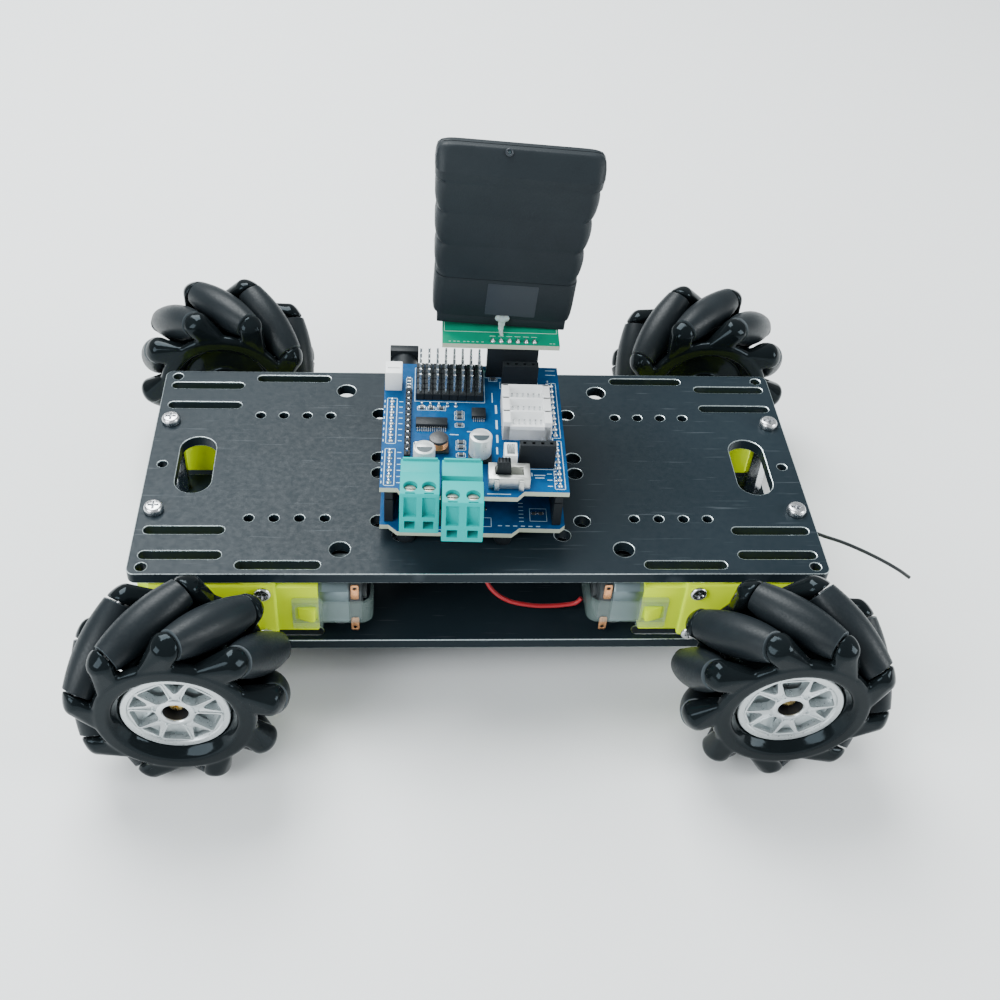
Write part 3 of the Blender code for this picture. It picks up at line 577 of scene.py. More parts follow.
def pan_head(radius, height):
    """A pan-head screw's head, standing on z = 0."""
    profile = [(0.0, height)]
    profile += [
        (radius * (0.62 + 0.38 * math.sin(turn)), height * (0.35 + 0.65 * math.cos(turn)))
        for turn in (math.radians(step * 15) for step in range(1, 7))
    ]
    profile += [(radius, 0.12), (radius - 0.12, 0.0), (0.0, 0.0)]
    return carve(lathe(profile, 32), cross_recess(radius * 0.62, height * 0.75, height))


def make_standoffs():
    bottom = cad_box("bottom_plate")[1].z
    ceiling, top = (corner.z for corner in cad_box("top_plate"))
    for node in sorted(frame["nodes"]):
        if not node.startswith("standoff"):
            continue
        low, high = cad_box(node)
        x, y = (low.x + high.x) / 2, (low.y + high.y) / 2
        column = post(x, y, bottom + 0.1, ceiling - 0.1, 5.5 / math.sqrt(3), 6, 0.18)
        thread = post(x, y, low.z, bottom + 0.5, 1.3, 16)
        piece(f"{node}_column", joined(column, thread), "bright_steel", node)
        head = moved(pan_head(2.9, high.z - top - 0.05), at(x, y, top + 0.05))
        piece(f"{node}_screw", head, "bright_steel")


# Wheels ---------------------------------------------------------------------------------------

WHEEL_RADIUS = 30.066
ROLLER_COUNT = 9
ROLLER_AXIS_RADIUS = 24.0
ROLLER_HALF = 13.0
ROLLER_BORE = 1.75
CAP_TURNS = {"rear_right": 85.6, "front_right": 59.0, "rear_left": 70.0, "front_left": 31.0}
VOXEL = 0.42
# Along the roller's axis, radius, and the share of the room under the wheel's rim that is filled
LOBE_RINGS = (
    (13.45, 3.9, 1.0),
    (14.0, 4.4, 1.0),
    (15.2, 4.4, 0.95),
    (16.5, 3.7, 0.85),
    (17.7, 2.6, 0.65),
    (18.5, 1.2, 0.3),
)
# Radius and half height of the drum's two dished discs
DISC = (
    (14.75, 10.2),
    (15.1, 11.4),
    (16.6, 13.7),
    (17.3, 14.25),
    (20.6, 14.3),
    (21.6, 13.7),
    (21.9, 12.4),
    (21.3, 11.0),
    (19.6, 10.3),
    (15.3, 9.4),
)
CAP_RIM = [(14.65, 8.6), (14.65, 11.25), (14.35, 11.5), (12.9, 11.5), (12.6, 11.2), (12.6, 10.6), (12.9, 8.6)]
CAP_COLLAR = [(5.3, 10.6), (5.1, 11.35), (4.6, 11.55), (3.75, 11.5), (3.5, 11.2), (3.5, 7.6), (5.3, 7.6)]
CAP_FLOOR = [(12.9, 9.6), (11.0, 8.5), (8.0, 7.8), (3.6, 7.6), (3.6, 7.3), (12.9, 7.3), (12.9, 9.6)]
# A thin tube just inside the cap's collar, coloured near black to paint shade over the bore's wall
CAP_BORE = [(3.48, 7.25), (3.48, 10.9), (3.62, 10.9), (3.62, 7.25), (3.48, 7.25)]


def roller_frame(side_x, side_y, number):
    """Middle, axis and outward direction of a roller, in an unturned frame at its wheel's centre."""
    turn = math.radians(360 / ROLLER_COUNT * number) + (math.pi if side_x < 0 else 0.0)
    outward = Vector((math.cos(turn), 0.0, math.sin(turn)))
    along_rim = Vector((-math.sin(turn), 0.0, math.cos(turn)))
    axis = (Vector((0.0, side_y, 0.0)) - side_x * along_rim).normalized()
    return ROLLER_AXIS_RADIUS * outward, axis, outward


def roller_shape():
    """A barrel along Z: rubber with a thin lighter ring at each end and a bore."""
    count = 18
    profile = [(ROLLER_BORE, ROLLER_HALF - 0.25), (2.5, ROLLER_HALF - 0.05)]
    for band in range(count + 1):
        height = (ROLLER_HALF - 0.1) * (1 - 2 * band / count)
        radius = WHEEL_RADIUS - 0.06 - math.sqrt(ROLLER_AXIS_RADIUS**2 + height**2 / 2)
        if band in (0, count):
            profile.append((radius - 0.35, math.copysign(ROLLER_HALF, height)))
        profile.append((radius, height))
    profile[-1], profile[-2] = profile[-2], profile[-1]
    profile += [(2.5, 0.05 - ROLLER_HALF), (ROLLER_BORE, 0.25 - ROLLER_HALF), profile[0]]
    bm = lathe(profile, 36)
    for face in bm.faces:
        middle = face.calc_center_median()
        at_end = abs(middle.z) > ROLLER_HALF - 0.12
        face.material_index = 1 if at_end and math.hypot(middle.x, middle.y) > 3.2 else 0
    return bm


def lobe_points(middle, axis, outward, side_x, side_y, end):
    """A rounded finger from the wheel's disc out to one end of a roller."""
    across = axis.cross(outward)
    points = []
    for along, radius, full in LOBE_RINGS:
        room = full * (WHEEL_RADIUS - 0.25 - math.hypot(ROLLER_AXIS_RADIUS, along / math.sqrt(2)))
        for step in range(16):
            turn = math.tau * step / 16
            lift = min(radius, room) if math.cos(turn) > 0 else radius
            rim = outward * math.cos(turn) * lift + across * math.sin(turn) * radius
            points.append(middle + axis * end * along + rim)
    root = math.atan2(outward.z, outward.x) - side_x * end * math.radians(36)
    for spread in (-13, 0, 14):
        turn = root - side_x * end * math.radians(spread)
        for y, reach in ((10.9, 19.0), (14.0, 19.8)):
            points.append(Vector((reach * math.cos(turn), side_y * end * y, reach * math.sin(turn))))
    return points


def wheel_moulding(side_x, side_y):
    """The black moulding: dished discs, drum, boss and the lobes, blended into each other."""
    profile = [(0.0, 7.2), (14.0, 7.2), (14.75, 8.0), *DISC]
    profile += [(radius, -height) for radius, height in reversed(DISC)]
    profile += [(14.0, -9.0), (6.6, -9.6), (6.0, -10.5), (6.0, -22.6), (5.4, -22.95), (0.0, -22.95)]
    parts = [moved(lathe(profile, 72), turned(-90 * side_y, "X"))]
    for number in range(ROLLER_COUNT):
        ways = roller_frame(side_x, side_y, number)
        parts += [hull(lobe_points(*ways, side_x, side_y, end)) for end in (-1, 1)]
    return remeshed(joined(*parts), VOXEL, 6)


def cap_window(turn, inner, outer, inner_half, outer_half, round_off):
    """A tapered window in the hub cap, with rounded corners, round one direction."""
    corners = ((inner, -inner_half), (outer, -outer_half), (outer, outer_half), (inner, inner_half))
    ring = [Matrix.Rotation(math.radians(turn + side), 2) @ Vector((reach, 0.0)) for reach, side in corners]
    points = []
    for before, corner, after in zip([ring[-1], *ring[:-1]], ring, [*ring[1:], ring[0]]):
        back = (before - corner).normalized() * min(round_off, (before - corner).length * 0.45)
        ahead = (after - corner).normalized() * min(round_off, (after - corner).length * 0.45)
        points += [tuple(corner + back * (1 - t) ** 2 + ahead * t**2) for t in (0.0, 1 / 3, 2 / 3, 1.0)]
    return points


def hub_cap(turn):
    """The satin cap: a rim and five forked spokes round a bore, the first at an angle in degrees."""
    spokes = [turn + 72 * number for number in range(5)]
    wide = [cap_window(spoke + 36, 5.5, 12.3, 21.0, 18.8, 1.1) for spoke in spokes]
    narrow = [cap_window(spoke, 7.9, 12.3, 3.2, 13.0, 0.6) for spoke in spokes]
    parts = [sheet(circle(0.0, 0.0, 14.6, 72), 8.4, 11.0, [circle(0.0, 0.0, 3.6, 36), *wide, *narrow], 0.14)]
    parts += [lathe(CAP_RIM, 96), lathe(CAP_COLLAR, 48)]
    for spoke, window in zip(spokes, wide):
        ridge = cap_window(spoke + 36, 5.05, 12.95, 25.5, 21.0, 1.6)
        parts.append(sheet(ridge, 10.8, 11.3, [window], 0.08))
    for spoke in spokes:
        for spread in (-0.2, 0.2):
            side = math.radians(spoke) + spread
            x, y = 6.0 * math.cos(side), 6.0 * math.sin(side)
            parts.append(bar((x, y, 10.9), (x, y, 11.4), 0.4, 0.32, 14))
    return joined(*parts)


def make_wheels():
    barrel = finished_mesh("roller_barrel", roller_shape(), ("roller_rubber", "roller_ring"), 40)
    for corner, (side_x, side_y) in CORNERS.items():
        centre = Vector(JOINTS[f"wheel_spin_{corner}"]["pos_m"]) / MM
        first = Vector(JOINTS[f"roller_spin_{corner}_1"]["pos_m"]) / MM - centre
        turn = math.atan2(first.z, first.x) - (math.pi if side_x < 0 else 0.0)
        place = Matrix.Translation(centre) @ Matrix.Rotation(-turn, 4, "Y")
        outward = place @ turned(-90 * side_y, "X")

        def add(name, bm, finish, slot=None):
            """A piece on this wheel, built along Z with the wheel's outer side up."""
            piece(f"wheel_{corner}_{name}", bm, finish, None, f"wheel_{corner}", outward)

        piece(
            f"wheel_{corner}_moulding",
            wheel_moulding(side_x, side_y),
            "wheel_gloss_black",
            f"wheel_frame_{corner}",
            f"wheel_{corner}",
            place,
            60,
        )
        add("cap", hub_cap(CAP_TURNS[corner] - math.degrees(turn)), "cap_silver")
        add("cap_floor", lathe(CAP_FLOOR, 64), "cap_floor")
        # The bore's lining is painted shade
        add("bore", lathe(CAP_BORE, 40), "dark_recess")
        add("screw", moved(pan_head(2.45, 1.7), at(0.0, 0.0, 7.3)), "brass_screw")
        add("shaft", post(0, 0, -34.8, -22.5, 2.65, 32, 0.3), "motor_end_cap", "wheel_plastic")
        pins = []
        for number in range(ROLLER_COUNT):
            middle, axis, lift = roller_frame(side_x, side_y, number)
            pins.append(bar(middle - axis * 14.2, middle + axis * 14.2, 1.35, sides=12))
            tilt = Matrix((lift, axis.cross(lift), axis)).transposed().to_4x4()
            spot = place @ Matrix.Translation(middle) @ tilt
            spot.translation *= MM
            placed = barrel.copy()
            placed.transform(spot)
            node = f"roller_{corner}_{number + 1}"
            settle(new_object(f"barrel_{corner}_{number + 1}", placed), node, node)
        piece(f"wheel_{corner}_pins", joined(*pins), "bright_steel", None, f"wheel_{corner}", place)
    bpy.data.meshes.remove(barrel)


# Gearmotors -----------------------------------------------------------------------------------

AXLE = (83.5, 30.0)
MOTOR_Y = 35.85
CAN_RADIUS = 10.05
CAN_FLAT = 7.55
CAN_RINGS = ((38.2, 0.7), (38.5, 0.2), (39.0, 0.0), (46.2, 0.0), (46.4, 0.15), (47.4, 0.15))
CAP_RINGS = ((34.6, 0.6), (35.0, 0.0), (38.4, 0.0))
AXLE_BOSS = [(3.2, 0.0), (3.2, 1.05), (3.5, 1.3), (4.9, 1.3), (5.4, 0.9), (5.6, 0.0), (3.2, 0.0)]
CASE_SCREWS_Z = (20.3, 37.8)
FOOT_SCREWS_X = (45.7, 67.8)


def gearbox_case():
    case = block((59.0, 26.5, 18.8), (94.8, 45.2, 41.2), 0.9, 3)
    neck = block((47.2, 27.3, 20.8), (60.4, 44.4, 39.2), 0.5, 2)
    boss = moved(lathe(AXLE_BOSS, 40), at(AXLE[0], 45.1, AXLE[1]) @ turned(-90, "X"))
    ear = block((94.2, 34.4, 25.5), (99.6, 37.4, 34.5), 0.7, 3)
    seams = [block((60.0, 33.2, z), (94.0, 33.5, z + 0.25)) for z in (41.1, 18.65)]
    pegs = [bar((91.3, 45.0, z), (91.3, 45.7, z), 1.5, 1.35, 20, 0.15) for z in (38.0, 22.0)]
    bore = bar((AXLE[0], 33.0, AXLE[1]), (AXLE[0], 47.5, AXLE[1]), 3.0, sides=28)
    ear_hole = bar((97.3, 33.0, AXLE[1]), (97.3, 39.0, AXLE[1]), 1.5, sides=20)
    return joined(carve(case, [bore]), carve(ear, [ear_hole]), neck, boss, *seams, *pegs)


def motor_can(rings, size=1.0):
    """The flattened round can, or its end cap, through rings of (x, shrink)."""
    outline = []
    for turn in range(0, 360, 10):
        y = CAN_RADIUS * math.cos(math.radians(turn))
        outline.append((max(-CAN_FLAT, min(CAN_FLAT, y)), CAN_RADIUS * math.sin(math.radians(turn))))
    sections = []
    for x, shrink in rings:
        scale = size - shrink / 9.0
        sections.append([Vector((x, MOTOR_Y + y * scale, 30.0 + z * scale)) for y, z in outline])
    return loft(sections)


def clear_strap():
    """The see-through band round the back of the motor can."""
    outer = arc((35.0, 41.2), 3.6, 90, 180, 6) + arc((35.0, 30.5), 3.6, 180, 270, 6)
    inner = arc((35.4, 30.9), 3.1, 270, 180, 6) + arc((35.4, 40.8), 3.1, 180, 90, 6)
    outline = [(54.6, 44.9), *outer, (47.0, 26.9), (47.0, 27.8), *inner, (54.6, 43.9)]
    band = sheet(outline, 24.6, 33.0, (), 0.12)
    window = rounded_rectangle((47.4, 26.2), (53.9, 32.2), 0.4)
    plate = sheet(rounded_rectangle((46.0, 22.9), (54.8, 35.3), 0.9), -0.5, 0.5, [window], 0.12)
    return joined(band, moved(plate, at(0.0, 45.0, 0.0) @ turned(90, "X")))


def clip_nub():
    outline = ((47.9, 44.4), (53.4, 44.4), (53.0, 45.2), (49.4, 46.55), (48.2, 46.5))
    return bevelled(hull([(x, y, z) for x, y in outline for z in (26.7, 31.6)]), 0.25)


def terminal_tab(low, high, hole):
    """An upright solder tab with a hole near its free end."""
    outline = rounded_rectangle((35.6, low), (37.9, high), 0.6)
    tab = sheet(outline, -0.2, 0.2, [circle(36.75, hole, 0.6, 14)], 0.06)
    return moved(tab, at(0.0, 42.9, 0.0) @ turned(90, "X"))


def bracket():
    leg = block((42.0, 24.9, 17.9), (71.0, 26.2, 41.8), 0.35)
    foot = block((42.0, 19.4, 17.85), (71.0, 25.4, 19.2), 0.35)
    return joined(leg, foot)


def motor_screws():
    screws = []
    for z in CASE_SCREWS_Z:
        screws.append(moved(pan_head(2.5, 1.15), at(62.7, 45.2, z) @ turned(-90, "X")))
        screws.append(bar((62.7, 22.9, z), (62.7, 25.1, z), 2.75, sides=6, bevel=0.15))
    for x in FOOT_SCREWS_X:
        screws.append(post(x, 23.0, 19.1, 21.1, 1.75, 6, 0.1))
        screws.append(post(x, 23.0, 14.15, 19.3, 1.0, 12))
    return joined(*screws)


def make_gearmotors():
    for corner, (side_x, side_y) in CORNERS.items():
        flip = Matrix.Diagonal((side_x, side_y, 1.0, 1.0))

        def add(name, bm, finish, replaces=None):
            piece(f"motor_{corner}_{name}", bm, finish, replaces, place=flip)

        axle_end = bar((33.4, MOTOR_Y, 30.0), (35.0, MOTOR_Y, 30.0), 3.0, sides=24, bevel=0.3)
        add("gearbox", gearbox_case(), "gearbox_yellow", f"gearmotor_{corner}")
        add("can", motor_can(CAN_RINGS), "motor_can")
        add("end_cap", joined(motor_can(CAP_RINGS, 0.91), axle_end), "motor_end_cap")
        add("strap", clear_strap(), "clear_strap")
        add("nub", clip_nub(), "gearbox_yellow")
        add("terminals", joined(terminal_tab(19.2, 24.8, 20.6), terminal_tab(32.8, 38.8, 37.3)), "copper")
        add("bracket", bracket(), "plate_black")
        add("screws", motor_screws(), "bright_steel")


# Electronics: x and y are the boards' own, and STACK puts them on the chassis -----------------

STACK = at(-29.76, -33.38, 0.0) @ Matrix.Rotation(-0.028, 4, "Z")
CONTROLLER_TOP = 51.2
SHIELD_TOP = 65.6
BOARD = 1.6
PRINT = 0.035
PITCH = 2.54
PIN_ROWS = ((2.54, 5.08, 6), (2.54, 22.86, 8), (50.8, 5.08, 8), (50.8, 26.92, 10))
ADAPTER_LOW = 76.75
# Outlines of the boards, and profiles of (radius, height)
CONTROLLER_OUTLINE = [
    (0.0, 68.58),
    (0.0, 2.54),
    (2.54, 2.54),
    (5.08, 0.0),
    (37.85, 0.0),
    (40.15, 2.3),
    (51.82, 2.3),
    (53.34, 3.82),
    (53.34, 68.58),
]
SHIELD_OUTLINE = [
    (0.0, 2.7),
    (5.0, 2.7),
    (6.4, 0.0),
    (38.6, 0.0),
    (40.6, 2.4),
    (53.3, 2.4),
    (53.3, 59.0),
    (0.0, 59.0),
]
ADAPTER_OUTLINE = [(17.1, 53.2), (52.7, 53.2), (52.7, 74.5), (17.1, 74.5)]
JACK_BARREL = [
    (3.15, 2.0),
    (3.15, 12.3),
    (4.3, 12.3),
    (4.3, 0.5),
    (3.8, 0.0),
    (0.0, 0.0),
    (0.0, 2.0),
    (3.15, 2.0),
]
PLUNGER = [(0.0, 4.55), (1.35, 4.55), (1.62, 4.3), (1.7, 4.0), (1.7, 1.95), (0.0, 1.95)]
RESET_AT = (49.0, 62.5)
SPACERS_AT = ((50.8, 53.34), (2.54, 54.61), (7.62, 2.54), (35.56, 2.54))
CONTROLLER_CHIPS = (
    (24.0, 4.2),
    (28.0, 4.2),
    (44.5, 8.2),
    (46.6, 8.2),
    (23.5, 12.0),
    (30.0, 9.5),
    (36.5, 14.5),
)
# Middle, length, width and whether it lies along X
SHIELD_CHIPS = (
    (22.6, 35.6, 2.0, 1.2, True),
    (22.6, 33.6, 2.0, 1.2, True),
    (22.6, 30.2, 1.8, 1.0, True),
    (22.9, 22.4, 2.0, 1.2, True),
    (22.9, 20.2, 2.0, 1.2, True),
    (22.9, 17.0, 1.8, 1.0, True),
    (10.3, 20.6, 2.2, 1.5, False),
    (23.6, 12.0, 2.6, 1.7, True),
    (14.2, 37.6, 1.8, 1.0, True),
    (11.4, 37.6, 1.8, 1.0, True),
    (17.2, 37.6, 1.8, 1.0, True),
    (7.4, 50.6, 1.8, 1.1, False),
    (7.4, 47.6, 1.8, 1.1, False),
    (33.0, 52.2, 1.8, 1.0, True),
)
# Middle, length and width of the printed shapes and the pads of unused parts
SHIELD_MARKS = (
    (32.6, 43.5, 0.3, 4.6),
    (33.6, 38.0, 0.6, 4.0),
    (33.6, 31.0, 0.6, 4.0),
    (33.6, 24.6, 0.6, 3.4),
    (33.4, 19.4, 0.5, 3.0),
    (51.0, 55.2, 3.0, 0.25),
    (51.0, 57.4, 3.0, 0.25),
    (43.0, 9.6, 0.3, 1.4),
    (45.2, 9.3, 3.2, 0.35),
    (45.2, 8.2, 2.6, 0.35),
    (33.4, 1.2, 6.6, 0.3),
    (21.0, 26.0, 2.6, 0.3),
    (26.0, 27.5, 2.4, 0.3),
)
CAPACITORS = ((12.3, 13.5, 3.15, 6.0), (28.3, 16.8, 3.25, 8.0))
# Corners, height and the number of pins
BLACK_SOCKETS = (
    (30.9, 53.5, 46.5, 56.1, 10.9, 6),
    (35.5, 48.3, 46.4, 50.8, 8.5, 4),
    (39.2, 12.2, 49.5, 14.8, 8.5, 4),
)
PLUG_SIDES = ((5.9, 16.5), (17.2, 28.3))


def add_part(name, bm, finishes, replaces=None, smooth=35.0):
    piece(name, bm, finishes, replaces, "chassis", STACK, smooth)


def board_sheet(outline, top):
    """A circuit board: masked faces with a bare pale edge."""
    bm = sheet(outline, top - BOARD, top)
    for face in bm.faces:
        face.material_index = 0 if abs(face.normal.z) > 0.5 else 1
    return bm


def print_frame(low, high, top, width=0.22):
    """A thin printed rectangle on a board."""
    (x0, y0), (x1, y1) = low, high
    z0, z1 = top - 0.02, top + PRINT
    return [
        block((x0, y0, z0), (x1, y0 + width, z1)),
        block((x0, y1 - width, z0), (x1, y1, z1)),
        block((x0, y0, z0), (x0 + width, y1, z1)),
        block((x1 - width, y0, z0), (x1, y1, z1)),
    ]


def dash(x0, y0, x1, y1, top):
    """A printed stroke."""
    return block((x0, y0, top), (x1, y1, top + PRINT))


def solder_point(x, y, top, radius=0.78):
    """A pad with a cone of solder round a pin's tip."""
    cone = [(0.0, 1.2), (0.28, 1.1), (0.36, 0.5), (radius * 0.8, 0.14)]
    pad = [(radius, 0.03), (radius, -0.05), (0.0, -0.05)]
    return moved(lathe(cone + pad, 10), at(x, y, top))


def small_chip(x, y, long, wide, top, along_x=True):
    """A chip resistor or capacitor: its ceramic body and its two tinned ends."""
    dx, dy = (long / 2, wide / 2) if along_x else (wide / 2, long / 2)
    inner, outer = long / 2 * 0.62, long / 2 + 0.05
    middle, half = (inner + outer) / 2, (outer - inner) / 2
    ends = []
    for side in (-middle, middle):
        spot = (x + side, y, half, dy + 0.05) if along_x else (x, y + side, dx + 0.05, half)
        ends.append(tile(*spot, top - 0.02, top + 0.7, 0.06, 1))
    return tile(x, y, dx, dy, top, top + 0.65, 0.06, 1), ends


def gull_wing(x, y, top, step):
    """One bent lead of a chip: out along Y, down, and out again."""
    knee = y + step * 0.4
    spans = (
        (y, knee, top + 0.75, top + 0.95),
        (knee, knee + math.copysign(0.2, step), top + 0.05, top + 0.95),
        (knee, y + step, top, top + 0.2),
    )
    return joined(
        *(block((x - 0.14, min(a, b), low), (x + 0.14, max(a, b), high)) for a, b, low, high in spans)
    )


def capacitor_can(x, y, radius, height, top):
    """The can of a small electrolytic."""
    profile = [
        (0.0, height),
        (radius - 0.9, height),
        (radius - 0.65, height - 0.12),
        (radius - 0.45, height),
        (radius - 0.15, height - 0.1),
        (radius, height - 0.4),
        (radius, 1.55),
        (radius - 0.2, 1.35),
        (radius - 0.2, 1.1),
        (0.0, 1.1),
    ]
    return moved(lathe(profile, 36), at(x, y, top))


def capacitor_base(x, y, radius, top):
    near, far = radius - 1.2, radius + 0.1
    outline = ((-far, -near), (-near, -far), (far, -far), (far, far), (-near, far), (-far, near))
    return sheet([(x + dx, y + dy) for dx, dy in outline], top, top + 1.15, (), 0.1)


def pin_row(x, first, count, low, high):
    return [tile(x, first + number * PITCH, 0.32, 0.32, low, high, 0.08, 1) for number in range(count)]


def make_controller():
    top = CONTROLLER_TOP
    jack_z = top + 6.5
    board = board_sheet(CONTROLLER_OUTLINE, top)
    add_part("controller_sheet", board, "mask_blue bare_board", "controller_board")
    sockets = []
    for x, first, count in PIN_ROWS:
        front = first - PITCH / 2
        back = front + count * PITCH - 0.1
        sockets.append(block((x - 1.27, front, top), (x + 1.27, back, top + 8.5), 0.12, 1))
    sockets.append(block((11.0, 1.8, top + 3.0), (18.4, 36.6, top + 7.3), 0.3))
    sockets.append(block((11.4, 2.4, top), (18.0, 36.0, top + 3.2), 0.15))
    jack = block((1.0, 69.2, top), (10.0, 72.4, top + 11.6), 0.3)
    sockets.append(carve(jack, [bar((5.5, 68.0, jack_z), (5.5, 73.5, jack_z), 3.15, sides=32)]))
    sockets.append(moved(lathe(JACK_BARREL, 40), at(5.5, 57.2, jack_z) @ turned(-90, "X")))
    sockets.append(block((1.3, 57.2, top), (9.7, 69.4, top + 3.3), 0.3))
    add_part("controller_sockets", joined(*sockets), "black_part")

    x, y = RESET_AT
    shell = block((32.0, 58.6, top), (44.0, 74.8, top + 10.9), 0.5)
    metal = [carve(shell, [block((32.8, 66.0, top + 0.9), (43.2, 76.0, top + 10.1))])]
    metal += [capacitor_can(spot, 62.5, 3.1, 5.3, top) for spot in (17.0, 25.0)]
    well = post(x, y, top + 1.5, top + 4.0, 2.1, 28)
    metal.append(carve(tile(x, y, 3.0, 3.0, top, top + 3.4, 0.15), [well]))
    metal.append(bar((5.5, 59.0, jack_z), (5.5, 70.5, jack_z), 1.0, sides=16, bevel=0.3))
    for number in range(14):
        metal += [tile(side, 3.0 + number * PITCH, 0.15, 0.25, top, top + 4.5) for side in (10.85, 18.55)]
    metal.append(block((24.0, 44.0, top), (35.0, 48.6, top + 3.4), 1.4, 4))
    add_part("controller_metal", joined(*metal), "bright_steel")

    tongue = block((34.8, 64.5, top + 4.2), (41.2, 74.2, top + 6.2), 0.2)
    spacers = [post(*spot, 46.5, top - BOARD, 2.6, 24, 0.2) for spot in SPACERS_AT]
    add_part("controller_spacers", joined(tongue, *spacers), "black_part")
    chips = [small_chip(*spot, 1.7, 0.9, top) for spot in CONTROLLER_CHIPS]
    add_part("controller_chips", joined(*(body for body, ends in chips)), "ceramic")
    add_part("controller_tins", joined(*(end for body, ends in chips for end in ends)), "bright_steel")

    printed = print_frame((21.5, 2.6), (32.2, 6.4), top) + print_frame((43.3, 5.2), (48.4, 10.6), top)
    printed += print_frame((9.6, 0.9), (19.6, 37.4), top)
    for step in range(6):
        printed.append(dash(34.0 + step * 2.2, 3.0, 35.2 + step * 2.2, 3.35, top))
        printed.append(dash(40.2, 5.0 + step * 1.5, 41.6, 5.25 + step * 1.5, top))
    add_part("controller_print", joined(*printed), "print_white")
    node = "reset_button"
    place = STACK @ at(*RESET_AT, top)
    piece("reset_plunger", lathe(PLUNGER, 28), "black_part", node, node, place)


def box_connector(front, back, top):
    """A white pin connector: three walls, end ears and six pins in a row."""
    left, right, height, wall = 35.0, 49.2, top + 7.0, 0.75
    walls = joined(
        block((left, front, top), (right, back, top + 4.2), 0.1, 1),
        block((left, front, top), (right, front + wall, height - 1.6), 0.12, 1),
        block((left, back - wall, top), (right, back, height), 0.12, 1),
        block((left, front, top), (left + 2.2, back, height), 0.18, 1),
        block((right - 2.2, front, top), (right, back, height), 0.18, 1),
    )
    x, y = (left + right) / 2, (front + back) / 2
    pins = [tile(x + number * 1.6 - 4.0, y, 0.25, 0.25, top + 1.0, top + 5.6, 0.06, 1) for number in range(6)]
    return walls, pins


def black_socket(x0, y0, x1, y1, height, count, top):
    """A black pin socket with its wells, or with one trough where it is a tall one."""
    x, y, rim = (x0 + x1) / 2, (y0 + y1) / 2, top + height
    if height > 10:
        wells = block((x0 + 0.6, y0 + 0.55, top + 3.0), (x1 - 0.6, y1 - 0.55, rim + 1.0))
    else:
        places = [x + (number - (count - 1) / 2) * PITCH for number in range(count)]
        wells = joined(*(tile(place, y, 0.45, 0.45, rim - 4.0, rim + 1.0) for place in places))
    return carve(block((x0, y0, top), (x1, y1, rim), 0.12, 1), [wells])


